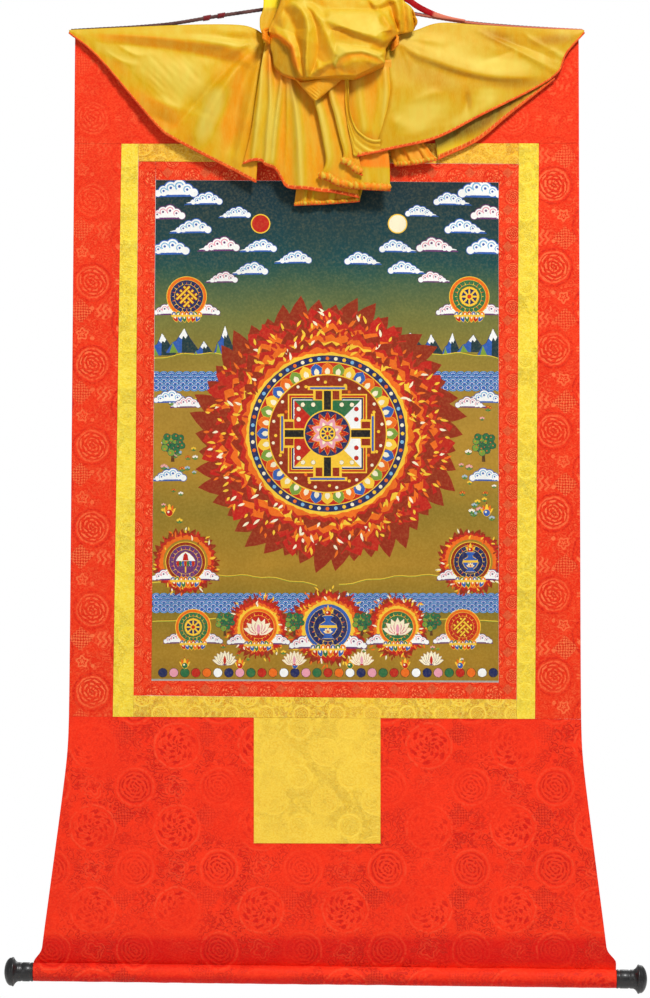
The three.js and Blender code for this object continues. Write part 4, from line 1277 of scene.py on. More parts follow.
def bundle(columns=112, rows=124):
    """The gathered cloth: thrown over the cord from behind, full in front, with its lip tucked under."""
    u, share = across_and_down(columns, rows)
    v = np.interp(share, (0, 0.16, 0.97, 1), (0, 3.2, 11.4, 12))
    left, right, middle, z, side = spline(BUNDLE, v[:, 0]).T[..., None]
    across = np.sin(np.pi * np.clip(u, 1e-4, 1 - 1e-4)) ** 0.6
    x = mix(left, right, u)
    z = z - 5 * np.clip(1 - np.abs(v - 3.4) / 3, 0, 1) * (1 - across) + 0 * u
    z = z + (lip_height(x) - 2.5 + 73.4) * smooth(8, 11.4, v)
    jag = smooth(0.9, 1, u) * smooth(4, 5, v) * (1 - smooth(7.2, 7.8, v))
    x = x + 0.7 * jag * np.sin(z * 0.52)
    front = smooth(3.4, 4.6, v) * (1 - smooth(11.2, 11.9, v))
    depth, warm = np.moveaxis(softened(creased(CREASES, x, z + lowered(z)), 1), 2, 0)
    edge = np.minimum(1, 7 * np.minimum(u, 1 - u)) ** 0.5
    y = mix(mix(side, middle, across), -12 - depth * (0.72 + 0.28 * edge), front)
    y -= (0.3 * crumple(x / 9 + 3, z / 8) + 0.14 * crumple(x / 4, z / 4)) * front
    y -= 1.4 * np.sin(x / 3.6 + 2 * crumple(x / 20, z / 15)) * (1 - smooth(3, 5, v)) * across
    return np.stack([x, y, z], axis=2), mix(0.3, warm, front)


def tip(rows=22, columns=30):
    """The pointed fold that shows under the lip."""
    u, v = across_and_down(columns, rows)
    x = mix(mix(-33, 17, u), mix(-12.4, -9.4, u), v)
    z = mix(-71, -94.4 + 1.2 * u, v) - 8 * (1 - u) * (1 - v) * np.minimum(1, u * 6)
    creases = np.sin((x + z * 1.25) * 1.5) * smooth(0.05, 0.3, u) * (1 - smooth(0.55, 0.85, u))
    y = -24.5 - 2.6 * np.sin(np.pi * u) ** 0.7 - 0.35 * creases
    # The tint paints warm shade, less on the creases that stand forward.
    return np.stack([x, y, z], axis=2), 0.75 - 0.3 * creases * v


def strip_behind(rows=26, columns=22):
    """The bright doubled edge of the veil behind the gather, brought over the cord."""
    u, v = across_and_down(columns, rows)
    nipped = (1 - u) * smooth(0.4, 0.6, v) * (1 - smooth(0.7, 0.95, v))
    x = mix(-59.2, -36, u) + 0.5 * crumple(u * 3, v * 4) - 3 * nipped
    z = mix(14.5 + 2 * u, -40, v)
    y = mix(-5.5, -15, v) - 1.3 * np.sin(u * 11 + v * 3) * v
    # The tint paints warm shade on its lower part.
    return np.stack([x, y, z], axis=2), 0.05 + 0.6 * smooth(0.36, 0.5, v) + 0 * u


def satin(name, base):
    """Satin whose tints paint its light and shade: warm orange in its folds for light that bounces in
    them and shines through them, straw-coloured highlights along them, deep shade and darker shadow,
    and orange shade and lemon highlights.
    """
    m = Material(name, Specular_IOR_Level=0.36, Specular_Tint=(1.0, 0.9, 0.46))
    deep, light, warm = srgb(180, 122, 0), srgb(220, 195, 78), srgb(232, 143, 0)
    split = add_node(m.tree, "SeparateColor", {0: m.tint()})
    fold, shade, glow = (Field(m.tree, out) for out in split.outputs)
    streaks = m.noise(7, 3.0, (1, 1, 0.3), 0.55)
    fine = m.noise(0.9, 2.0, (1, 1, 0.25))
    weave = (m.x * 13).sin() * (m.z * 13).sin() * 0.5 + 0.5
    # Painted light and shade: fold paints warm orange above 0 and straw highlights below it, shade paints deep shade
    # and, above 1, darker shadow, and glow paints lemon highlights above 0 and orange shade below it.
    colour = m.layered(base, [
        (fold, 0.5, 1, 1, warm), (fold * -1, 0.5, 1, 0.95, light), (shade, 0.5, 1, 1, deep),
        (shade - 1, 0.5, 1, 1, srgb(84, 60, 6)), (glow, 0.5, 1, 1, srgb(255, 222, 0)),
        (glow * -1, 0.5, 1, 1, srgb(244, 112, 6)), (streaks, 0.56, 0.5, 0.25, warm),
        (1 - streaks, 0.6, 0.4, 0.3, light), (fine, 0.55, 0.4, 0.16, light),
    ])
    return m.finish(colour, 0.4 + streaks * 0.14, streaks * 0.5 + fine * 0.3 + weave * 0.2, 0.14)


def stitches(shape, grid, spacing=1.35, length=2.6, thread=0.5):
    """Overlock stitches along a grid's foot, orange with a pale one here and there, over a rolled edge."""
    foot = grid[-1]
    gap = max(1e-6, np.median(np.linalg.norm(grid[-1] - grid[-2], axis=1)))
    inner = grid[-1 - max(1, int(round(length / gap)))]
    along = lengths(foot)
    at = np.arange(spacing / 2, along[-1] - spacing, spacing)
    front = np.array([0, -SATIN * 0.7, 0])
    shape.add(*tube(evenly(foot + front * 0.3, max(8, int(along[-1] / 2))), 0.9, 6))
    for k, (a, b) in enumerate(zip(between(foot, along, at), between(inner, along, at + spacing * 0.8))):
        bow = [a + front * 0.5, mix(a, b, 0.5) + front * (0.9 + thread), b + front * 0.7]
        shape.add(*tube(bow, np.array([1, 1.2, 0.7]) * thread, 4), int(k % 5 == 1))


def rolled(shape, grid, radius, sides=10):
    """A hem rolled over, flattened and puckered by its stitches, with painted orange shade down in the
    puckers and on its underside, and painted straw highlights on its crests.
    """
    foot = grid[-1] + (0, -radius * 0.5, radius * 0.85)
    length = lengths(foot)[-1]
    at = np.linspace(0, length, int(length / 0.55))
    path = evenly(foot, len(at))
    path[:, 2] += 0.18 * radius * crumple(at / 5, radius)
    verts, faces = tube(path, radius * np.minimum(1, np.minimum(at, length - at) / 3 + 0.4), sides)
    around = np.arange(sides) * TURN / sides
    turn = TURN * (at / 3.6 + 0.5 * crumple(at / 9, radius))
    crest = 0.5 + 0.5 * np.cos(turn[:, None] + 1.5 * np.sin(around) + 0.8 * np.cos(around))
    crest *= 0.8 + 0.2 * crumple(at / 2.1, 5)[:, None]
    rings = verts[:-2].reshape(len(at), sides, 3)
    out = (rings - path[:, None]) * (0.7 + 0.4 * crest)[..., None] * (1, 0.55, 1)
    verts[:-2] = (path[:, None] + out).reshape(-1, 3)
    # Painted shade low on the roll and in the puckers, painted highlight on the crests.
    low = np.clip(-out[..., 2] / radius, 0, 1)
    glow = np.clip(1.05 - 1.5 * crest + 0.8 * low, 0, 1)
    tint = np.dstack([1 - 1.9 * crest, 0.1 + 0 * crest, -glow]).reshape(-1, 3)
    shape.add(verts, faces, 0, np.vstack([tint, tint[:1], tint[-1:]]))


def add_satin(shape, grid, fold, shade=0.0, glow=0.0):
    """Adds a cloth whose points have three tints: straw-coloured to warm, deep, and orange to lemon. Where it
    turns up to the light it gets a painted straw highlight, and where it turns away painted warm and
    deep shade.
    """
    turn = turned(grid)
    light, dark = np.maximum(turn, 0), np.maximum(-turn, 0)
    tint = np.dstack(np.broadcast_arrays(fold - 0.8 * light + 0.4 * dark, shade + 0.25 * dark, glow))
    shape.add(*slab(grid, SATIN, None, tint))


def under_lip(grid):
    """Painted orange shade on the cloth close under the bundle, in the glow tint."""
    hidden = np.maximum(0, lip_height(grid[..., 0]) - 4 - grid[..., 2])
    return -0.75 * np.exp(-hidden / 11) * smooth(-62, -52, grid[..., 0])


STITCHED = {"spacing": 0.9, "length": 2.1, "thread": 0.32}  # how a fine hem is stitched


def wing_layer(grid, light_and_shade, fold, warm, deep, shaded):
    """A wing with its tints, from its table of painted light and shade. Its painted highlights go into the
    fold tint; warm and deep say how strongly its painted shade shows as warm and as deep, and shaded
    lays painted shade over the whole wing, less under the highlights.
    """
    tone = painted_light_and_shade(light_and_shade, grid[..., 0], grid[..., 2])
    fold = fold + np.minimum(tone, 0) + warm * np.maximum(tone, 0)
    return grid, fold, deep * np.maximum(tone, 0) + shaded * np.clip(1 + tone, 0, 1), 0.0, STITCHED


def layers():
    """The veil's hemmed layers, as the grid, its three tints, and its hem's stitches or radius."""
    left = wing(WING_LEFT_TOP, WING_LEFT_HEM, 1, LEFT_FOLDS, 0, (GATHER_LEFT, 21, 1.6, 30))
    right = wing(WING_RIGHT_TOP, WING_RIGHT_HEM, 0, RIGHT_FOLDS, 12, (GATHER_RIGHT, 17, 1.0, 24))
    wide = lambda grid: 0.25 + 0.35 * smooth(-0.2, 0.5, crumple(grid[..., 0] / 31, grid[..., 2] / 23))
    yield wing_layer(left, LEFT_LIGHT_AND_SHADE, wide(left) + 0.3 * smooth(-90, -62, left[..., 0]), 1.1, 0.2, 0)
    yield wing_layer(right, RIGHT_LIGHT_AND_SHADE, wide(right) * 0.6 - 0.05, 0.15, 0.8, 0.3)
    grid, fold = fan()
    yield grid, fold, 0.0, under_lip(grid), {"length": 3.6}
    grid, fold = first_pleat()
    # Beside the opening: painted orange shade under the rim's hem, and a painted straw highlight near the foot.
    beside_loop, near_foot = smooth(22, 28, grid[..., 0]), smooth(-152, -156, grid[..., 2])
    glow = under_lip(grid) - 0.9 * beside_loop * (1 - near_foot)
    yield grid, fold - 0.9 * beside_loop * near_foot, 0.0, glow, 3.5
    grid, fold = second_pleat()
    yield grid, fold, 0.0, under_lip(grid), 3.4
    under = under_layer(right)
    # Painted shadow of the right wing, darkest just under its hem, and a painted lemon highlight towards the lower
    # edge at the left.
    down = np.linspace(0, 1, len(under))[:, None]
    glow = 0.7 * smooth(150, 110, under[..., 0]) * smooth(0.8, 1, down)
    yield under, 0.3, 2 * (1 - smooth(0.8, 1.05, down)), glow, STITCHED
    yield *hanging_layer((-20, 50), (-31, 29), (-188.2, -187, -184.6), -6.5, 4.5, 1.3), 0.0, 0.0, 1.9
    # Painted orange shade on its upper part, under the cloth in front.
    grid, fold = hanging_layer((46, 66), (61, 99.5), (-152.6, -151, -147), -9.5, 3, 1.2)
    yield grid, fold, 0.0, -0.6 * smooth(-152, -142, grid[..., 2]), 2.2


def add_bundle(cloth):
    grid, fold = bundle()
    x, z = grid[..., 0], grid[..., 2] + lowered(grid[..., 2])
    inside, side, _ = from_line(CHEEK, x, z)
    in_front = smooth(4, 5, np.linspace(0, 12, len(x)))[:, None]
    # Painted shade: the cheek deep, and its turned edge and the lip's underside orange.
    cheek = smooth(-0.3, 0.5, inside * -side) * smooth(-20, -23, x) * smooth(-27, -29, z) * in_front
    turned_edge = np.exp(-(inside / 1.8) ** 2) * smooth(-26, -30, z) * smooth(-66, -54, z)
    lip = np.exp(-((z - 0.5 - lip_height(x)) / 2.2) ** 2) * np.maximum(smooth(-22, -27, x), smooth(22, 27, x))
    painted_edge_glow = -np.clip(turned_edge + 0.9 * lip, 0, 1) * in_front
    add_satin(cloth, grid, fold * (1 - cheek), 0.8 * cheek, painted_edge_glow)


def make_veil():
    gold, inner = satin("veil_satin", srgb(208, 166, 4)), satin("veil_satin_reverse", srgb(196, 148, 4))
    cloth, hems = Shape(), Shape()
    for grid, fold, shade, glow, hem in layers():
        add_satin(cloth, grid, fold, shade, glow)
        if isinstance(hem, dict):
            stitches(hems, grid, **hem)
        else:
            rolled(cloth, grid, hem)
            hems.add(*tube(evenly(grid[-1] + (0, -0.6, 0), 60), 0.8, 6))
    rim, fold = loop_rim()
    add_satin(cloth, rim, fold)
    stitches(hems, rim[:, int(rim.shape[1] * 0.72):], 0.9, 1.7, 0.28)
    for grid, fold in (swag(), tip()):
        add_satin(cloth, grid, fold - 0.25, 0.0, under_lip(grid) * 0.5)
    add_bundle(cloth)
    grid, fold = strip_behind()
    # Painted lemon highlight along its upper part.
    add_satin(cloth, grid, fold, 0.0, smooth(0.3, 0.05, fold))
    # Cloth knotted at each gather, painted warm orange shade.
    for x, z, sign in ((-57.5, -32, -1), (62, -38, 1)):
        for k in range(3):
            strand = [(x - sign * 3, -14, z + 5 - 2 * k), (x + sign * 1.5, -25, z + 2 - 2.6 * k),
                      (x, -26.5, z - 2 - 2 * k), (x - sign * 4, -18, z - 5 - 2 * k)]
            verts, faces = tube(evenly(strand, 14), [1.0, *[1.5] * 12, 1.0], 8)
            cloth.add(verts, faces, 0, np.tile((1.0, 0.0, -0.6), (len(verts), 1)))
    veil = cloth.build("veil_satin_cloth", [gold, inner, gold], "satin", 80)
    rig.replaces(veil, "veil")
    orange = cord_yarn("hem_thread", (244, 96, 22), (216, 62, 8), (255, 150, 70))
    pale = cord_yarn("hem_thread_pale", (252, 178, 70), (240, 120, 40), (255, 226, 150))
    hem = hems.build("veil_hem", [orange, pale], "satin", 60)
    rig.sheet(veil, flat=(0.46, 0.28), held="gathered", rests_on=["hanging_cord_twisted"], with_pieces=[hem])


make_veil()


# ---------------------------------------------------------------- picture cloth

INK = {
    "navy": (18, 34, 92), "blue": (38, 92, 178), "sky": (128, 184, 222), "teal": (8, 52, 62),
    "green": (34, 110, 66), "leaf": (122, 158, 58), "red": (196, 26, 20), "rust": (150, 38, 14),
    "orange": (240, 108, 22), "gold": (252, 202, 56), "cream": (252, 240, 204), "pink": (238, 158, 176),
    "white": (250, 250, 246), "brown": (88, 50, 24), "plum": (104, 48, 110), "ink": (16, 18, 26),
    "grey": (170, 168, 160),
}
# The ground: gold and dusk green that rise to a thin haze, then night teal. A row is a height and its colour.
GROUND = [
    (-640, (150, 112, 30)), (-600, (170, 128, 34)), (-560, (134, 112, 30)), (-520, (176, 132, 36)),
    (-470, (146, 120, 36)), (-425, (180, 136, 42)), (-370, (170, 132, 44)), (-330, (150, 128, 46)),
    (-290, (112, 116, 58)), (-262, (70, 96, 66)), (-240, (14, 72, 74)), (-200, (6, 54, 62)),
    (-160, (4, 40, 52)),
]


def ground_ink(x, z):
    z = z + 1.5 * math.sin(x / 19) + 0.8 * math.sin(x / 7 + z / 16)
    heights, inks = zip(*GROUND)
    return tuple(float(np.interp(z, heights, channel)) for channel in zip(*inks))


def spun(points, angle):
    """Points turned left about the origin."""
    c, s = math.cos(angle), math.sin(angle)
    return np.asarray(points, float) @ np.array([[c, s], [-s, c]])


def out_from(centre, r, angle):
    """The point r from the centre, at an angle from straight up, turning left."""
    return np.array(centre) + r * np.array([-math.sin(angle), math.cos(angle)])


class Print:
    """Flat areas printed one over another. A colour is the name of an ink, or a function of (x, z)."""

    def __init__(self):
        self.loops, self.colours = [], []
        self.random = np.random.default_rng(108)

    def area(self, points, colour, line=None, grow=0.5):
        """An area, with an outline of another colour if line is given."""
        points = np.asarray(points, float)
        if line is not None:
            self.area(points + unit(points - points.mean(0)) * grow, line)
        self.loops.append(points)
        self.colours.append(INK.get(colour, colour))

    def box(self, centre, left, right, low, high, colour, angle=0.0):
        """A rectangle, turned about the centre that its sides are given from."""
        corners = [(left, low), (right, low), (right, high), (left, high)]
        self.area(np.array(centre) + spun(corners, angle), colour)

    def disc(self, centre, r, colour, line=None, grow=0.5, sides=None, squash=1.0):
        a = np.linspace(0, TURN, sides or int(np.clip(8 + r * 2.2, 8, 72)), endpoint=False)
        self.area(np.array(centre) + r * np.stack([np.cos(a), squash * np.sin(a)], 1), colour, line, grow)

    def discs(self, centre, r, *rows):
        """Discs one on another. A row is a share of r, a colour, and an outline's colour and width."""
        for share, *rest in rows:
            self.disc(centre, r * share, *rest)

    def leaf(self, base, angle, length, width, colour, steps, start, line=None, grow=0.4, lean=0.0):
        """A petal, flame or blade. angle is from straight up, turning left, start is the base's share of the
        width, and lean bends it to the right."""
        t = np.linspace(0, 1, steps + 2)
        half = width / 2 * np.sin(np.pi * t**0.8) ** 0.9
        half[0] = width * start / 2
        bend = lean * length * t**2
        left, right = (np.stack([bend + way * half, t * length], 1) for way in (-1, 1))
        side = np.concatenate([left, right[-2::-1]])
        self.area(spun(side, angle) + np.array(base), colour, line, grow)

    def leaves(self, centre, reach, count, *rows, shift=0.0):
        """Leaves that point out from a circle, one row on another. A row is length, width and inks, then what
        follows the colour in leaf."""
        for k in range(count):
            a = TURN * (k + shift) / count
            for length, width, inks, *rest in rows:
                self.leaf(out_from(centre, reach, a), a, length, width, inks[k % len(inks)], *rest)

    def mirrored(self, centre, profile, colour, line=None, grow=0.4):
        """A shape that is the same left and right, from (half width, height) points, top first."""
        p = np.asarray(profile, float)
        self.area(np.array(centre) + np.concatenate([p, p[::-1] * (-1, 1)]), colour, line, grow)


def flames(p, centre, radius, count, length, shades=("rust", "red", "orange")):
    """A ring of flame tongues, row over row, each row shorter and lighter."""
    wide = TURN * radius / count * 1.55
    for row, ink in enumerate(shades):
        reach = length * (1 - row / (len(shades) + 0.3))
        for k in range(count):
            a = TURN * (k + 0.5 * (row % 2)) / count
            tall = reach * (0.78 + 0.3 * math.sin(k * 2.4 + row) ** 2)
            p.leaf(out_from(centre, radius - 1.5, a), a, tall, wide, ink, 4, 0.7, lean=0.3 * (-1) ** row)


def flecks(p, centre, inner, outer, count, size):
    """Small loose tongues over a ring of flames."""
    inks = ("gold", "orange", "red", "red", "gold", "rust", "orange", "cream")
    vary = p.random.uniform
    for k in range(count):
        a = vary(0, TURN)
        base = out_from(centre, math.sqrt(vary(inner**2, outer**2)), a)
        p.leaf(base, a + vary(-0.7, 0.7), size * vary(0.7, 1.4), size * 0.4, inks[k % 8], 3, 0.2,
               lean=vary(-0.4, 0.4))


def lotus(p, base, size, inner="pink", outer="cream", line="red", petals=7, spread=1.25):
    for k in sorted(range(petals), key=lambda k: -abs(k - (petals - 1) / 2)):
        a = spread * (1 - 2 * k / (petals - 1))
        p.leaf(base, a, size, size * 0.42, outer, 4, 0.4, line, 0.35)
        p.leaf(base, a, size * 0.66, size * 0.24, inner, 3, 0.4)


def lotus_seat(p, centre, half, tall, inks=("red", "blue", "green", "orange")):
    """A row of hanging petals under a shorter row of upright ones."""
    count = max(5, int(half * 2 / (tall * 0.72)))
    for row, way, lean in ((0, math.pi, -0.5), (1, 0.0, 0.5)):
        for k in range(count + row):
            x = (k + 0.5 * (1 - row)) / count * 2 - 1
            base = (centre[0] + x * half * (0.96 - 0.06 * row), centre[1])
            a = way + x * lean
            p.leaf(base, a, tall * (1.0 - 0.3 * row), tall * 0.66, inks[(k + row) % 4], 3, 0.6, "gold", 0.45)
            p.leaf(base, a, tall * 0.5, tall * 0.3, "cream", 2, 0.6)
    p.box(centre, -half, half, -0.9, 0.9, "gold")


BANKS, DUSK = ("white", "sky", "blue"), ("white", "pink", "plum")
LOBES = [(-1.5, -0.1, 0.42), (-0.95, 0.16, 0.55), (-0.3, 0.42, 0.66), (0.42, 0.3, 0.6), (1.02, 0.04, 0.5),
         (1.5, -0.16, 0.34)]  # right, up and radius, in a cloud's sizes


def cloud(p, centre, size, inks, flip, tail=2.4):
    c = np.array(centre)
    body = np.array([(-1.7, -0.42), (tail, -0.5), (1.4, 0.0), (-1.2, 0.1)]) * (size * flip, size)
    lobes = [(c + (dx * size * flip, dz * size), r * size) for dx, dz, r in LOBES]
    p.area(c + body, inks[2])
    for shrink, ink in ((1.0, inks[2]), (0.84, inks[0])):
        for spot, r in lobes:
            p.disc(spot, r * shrink, ink)
    p.area(c + body * (0.94, 0.6), inks[0])
    a = np.linspace(0.3, 4.0, 8)
    curl = np.stack([np.cos(a), np.sin(a)], 1)
    for spot, r in lobes[1:5]:
        p.area(spot + np.concatenate([curl * (r * 0.6), curl[::-1] * (r * 0.42)]), inks[1])
        p.disc(spot, r * 0.2, inks[2], sides=7)


def jewel(p, base, size, ink="red"):
    x, z = base
    for k in (-2, 2, -1, 1, 0):
        p.leaf((x, z + size * 0.3), -0.4 * k, size * (2.1 - 0.22 * abs(k)), size * 0.7,
               "orange" if k % 2 else "gold", 3, 0.5, "rust", 0.25)
    p.disc((x, z + size * 0.6), size * 0.62, ink, "gold", 0.35)
    p.disc((x - size * 0.16, z + size * 0.78), size * 0.22, "cream", sides=7)


def wheel(p, centre, r):
    p.discs(centre, r, (1, "gold", "rust", 0.4), (0.78, "navy"))
    p.leaves(centre, 0, 8, (r * 1.12, r * 0.2, ("gold",), 3, 0.9))
    p.discs(centre, r, (0.34, "gold"), (0.22, "red"))


def knot(p, centre, r):
    for k in range(-1, 2):
        for way in (-1, 1):
            at = k * r * 0.52
            for half, ink in ((0.17, "rust"), (0.1, "gold")):
                p.box(centre, -r * 0.95, r * 0.95, at - r * half, at + r * half, ink, way * TURN / 8)


# A vase's outline as half widths and heights, in shares of its own half height.
VASE = [(0.3, 1.0), (0.5, 0.92), (0.26, 0.72), (0.24, 0.5), (0.68, 0.24), (0.78, -0.1), (0.56, -0.5),
        (0.3, -0.72), (0.52, -1.0)]


def vase(p, centre, r):
    jewel(p, (centre[0], centre[1] + r * 0.95), r * 0.42)
    p.mirrored(centre, np.array(VASE) * r, "blue", "gold", 0.5)
    p.mirrored(centre, np.array([(0.72, 0.16), (0.78, -0.08)]) * r, "gold")
    lotus(p, (centre[0], centre[1] - r * 0.5), r * 0.42, "red", "cream", "gold", 5)


def parasol(p, centre, r):
    p.box(centre, -0.07 * r, 0.07 * r, -1.1 * r, r, "gold")
    for k in range(7):
        p.leaf((centre[0] + (k - 3) * r * 0.26, centre[1] + 0.12 * r), math.pi, r * 0.62, r * 0.3,
               ("red", "green", "blue")[k % 3], 3, 0.8, "gold", 0.25)
    for shade, *inks in (([(0.05, 1.0), (0.4, 0.82), (0.74, 0.5), (0.98, 0.1)], "white", "gold"),
                         ([(0.04, 0.9), (0.2, 0.7), (0.3, 0.14)], "red")):
        p.mirrored(centre, np.array(shade) * r, *inks)


def lotus_symbol(p, centre, r):
    lotus(p, (centre[0], centre[1] - r * 0.7), r * 1.7)


def medallion(p, centre, r, symbol, back, rim):
    """A symbol on a haloed disc, set on clouds, over a lotus seat."""
    x, z = centre
    for way in (-1, 1):
        cloud(p, (x + way * r * 0.95, z - r * 0.75), r * 0.42, DUSK, way, 1.9)
    p.discs(centre, r, (1, rim, "gold", 0.6), (0.84, back, "gold", 0.35))
    p.leaves(centre, 0, 20, (r * 0.8, r * 0.09, ("orange", "gold"), 2, 0.1))
    p.discs(centre, r, (0.62, back, "gold", 0.3))
    symbol(p, centre, r * 0.5)
    lotus_seat(p, (x, z - r * 0.98), r * 0.78, r * 0.34)


# The bars of a palace gate: half width, foot, head and ink, in shares of the palace's half width.
GATE = [(0.36, 0.84, 1.12, "gold"), (0.3, 0.86, 1.08, "rust"), (0.5, 1.1, 1.2, "gold"),
        (0.44, 1.12, 1.17, "blue"), (0.13, 0.6, 1.12, "gold"), (0.09, 0.6, 1.08, "ink")]


def palace(p, centre, r):
    """The middle of the wheel of rings: a square hall with four gates, and a lotus inside it."""
    c = np.array(centre)
    for half, ink in ((1.0, "gold"), (0.965, "red"), (0.92, "gold"), (0.9, "navy"), (0.86, "white")):
        p.box(c, -half * r, half * r, -half * r, half * r, ink)
    for k, ink in enumerate(("green", "red", "gold", "white")):
        a, h = k * TURN / 4, 0.84 * r
        p.area(c + spun([(0, 0), (-h, h), (h, h)], a), ink)
        for half, low, tall, hue in GATE:
            p.box(c, -half * r, half * r, low * r, tall * r, hue, a)
        for s in (-0.62, -0.36, 0.36, 0.62):
            p.disc(c + spun((s * r, 0.73 * r), a), r * 0.055, "cream" if k < 3 else "red", "ink", 0.25, 8)
    p.discs(c, r, (0.6, "gold"), (0.57, "navy"))
    for shift, count, tall, wide, *inks in ((0, 16, 0.55 * r, 0.2 * r, "red", "orange"),
                                            (0.5, 8, 0.42 * r, 0.26 * r, "pink", "cream")):
        p.leaves(c, 0, count, (tall, wide, inks[:1], 4, 0.2, "gold", 0.35),
                 (tall * 0.78, wide * 0.45, inks[1:], 3, 0.2), shift=shift)
    wheel(p, centre, r * 0.2)


def ring_wheel(p, centre, r):
    """Flames, then a ring of jewels, a ring of petals and the palace."""
    fire = ("rust", "red", "orange", "gold")
    for at, count, long, shades in ((0.84, 46, 0.3, fire[:3]), (0.78, 46, 0.26, fire), (0.72, 44, 0.2, fire),
                                    (0.64, 40, 0.16, fire)):
        flames(p, centre, r * at, count, r * long, shades)
    flecks(p, centre, r * 0.66, r * 0.98, 420, r * 0.055)
    quarter = TURN / 4
    p.discs(centre, r, (0.655, "gold"), (0.643, "navy"))
    for k in range(56):
        spot = out_from(centre, r * 0.617, TURN * k / 56 - quarter)
        p.disc(spot, r * 0.016, ("gold", "cream", "orange", "sky")[k % 4], sides=7)
    p.discs(centre, r, (0.592, "gold"), (0.584, "red"))
    inks = ("orange", "blue", "gold", "leaf")
    p.leaves(centre, r * 0.49, 36, (r * 0.092, r * 0.1, inks, 3, 0.7, "gold", 0.3),
             (r * 0.052, r * 0.045, ("cream",), 2, 0.7))
    p.discs(centre, r, (0.49, "gold"), (0.48, "rust"))
    for k in range(48):
        spot = out_from(centre, r * (0.42 + 0.04 * math.sin(k * 2.1)), TURN * (k + 0.3) / 48 - quarter)
        p.disc(spot, r * 0.014, ("gold", "cream", "orange")[k % 3], sides=6)
    palace(p, centre, r * 0.325)


def hill(p, left, right, top, rise):
    """A rounded rise of meadow, with a light line along its crest."""
    x = np.linspace(left, right, 26)
    z = top + rise * np.sin(np.pi * (x - left) / (right - left)) + 0.8 * np.sin(x / 4.5)
    for up, colour in ((1.1, "gold"), (0.5, "leaf"), (0, ground_ink)):
        p.area(np.concatenate([np.stack([x, z + up], 1), [(right, top - 14), (left, top - 14)]]), colour)


def peak(p, base, wide, tall):
    """A rock face with a shaded side, a green foot and snow, all in shares of its half width and height."""
    left, right = [(-1, 0), (-0.62, 0.42), (-0.4, 0.5)], [(0.34, 0.62), (0.56, 0.4), (1, 0)]
    top = (p.random.uniform(-0.06, 0.06), 1)
    place = lambda points: np.array(base) + np.multiply(points, (wide, tall))
    p.area(place([*left, top, *right]), "blue", "navy", 0.5)
    p.area(place([(-0.1, 0), (-0.08, 0.5), top, *right]), "teal")
    p.area(place([(-0.8, 0), left[1], (-0.3, 0)]), "leaf")
    p.area(place([(-0.26, 0.66), (-0.1, 0.56), (0, 0.7), (0.12, 0.58), (0.24, 0.72), top]), "white")


def water(p, top, left=-158, right=160, rows=5, size=7.0):
    for j in range(rows):
        for x in np.arange(left + (j % 2) * size / 2, right, size):
            for share, ink in ((0.66, "navy"), (0.6, "sky"), (0.5, "blue"), (0.34, "white"), (0.28, "blue")):
                p.disc((x, top - j * size * 0.42), size * share, ink, sides=12, squash=0.8)


def flower_spray(p, base, size, ink):
    for k in (-2, -1, 0, 1, 2):
        blade = "leaf" if k % 2 else "green"
        p.leaf(base, -0.42 * k, size * (1.3 - 0.12 * abs(k)), size * 0.28, blade, 3, 0.2, lean=0.15 * k)
    for k in (-1, 1, 0):
        spot = np.array(base) + (k * size * 0.52, size * (1.15 - 0.24 * abs(k)))
        for petal in range(5):
            p.leaf(spot, TURN * petal / 5 + k, size * 0.4, size * 0.3, ink, 2, 0.3)
        p.disc(spot, size * 0.13, "gold", sides=6)


def tree(p, base, size, fruit="red"):
    x, z = base
    vary = p.random.uniform
    trunk = [(-0.1, 0), (0.12, 0), (0.05, 1), (-0.05, 1)]
    p.area(np.array(base) + np.multiply(trunk, size), "brown")
    for k in range(17):
        a, r = k * 2.4, 0.14 * size * math.sqrt(k)
        spot = (x + r * math.cos(a) * 1.15, z + size * 1.1 + r * math.sin(a))
        p.disc(spot, size * 0.2, "green" if k % 3 else "leaf", "teal", 0.4, 10)
        p.disc((spot[0] + vary(-1, 1), spot[1] + vary(-1, 1)), size * 0.045, fruit, sides=6)


MIDDLE, WHEEL_RADIUS = (-0.5, -398), 112
UPPER, LOWER = (130, -272), (131, -516)  # the corner medallions
FRIEZE = -576  # the row of medallions along the foot: x, radius, symbol and ground
FRIEZE_ROW = ((-124, 16, wheel, "green"), (-64, 17, lotus_symbol, "red"), (0, 21, vase, "navy"),
              (64, 17, lotus_symbol, "green"), (124, 16, knot, "red"))
CLOUDS = ((140, -176, 11, BANKS), (112, -184, 8, BANKS), (148, -196, 9, DUSK), (84, -196, 7, BANKS),
          (124, -209, 9, BANKS), (146, -228, 10, BANKS), (98, -226, 9, DUSK), (62, -228, 8, BANKS),
          (70, -248, 8, BANKS), (30, -238, 8, BANKS), (96, -256, 7, DUSK))  # x, z, size and inks


def sky(p):
    for way in (-1, 1):
        for x, z, size, inks in CLOUDS:
            cloud(p, (way * x, z + p.random.uniform(-1, 1)), size, inks, way, 2.6)
    p.disc((-62, -205), 8, "red", "gold", 1.0)
    p.disc((64, -205), 8, "cream", "gold", 1.0)


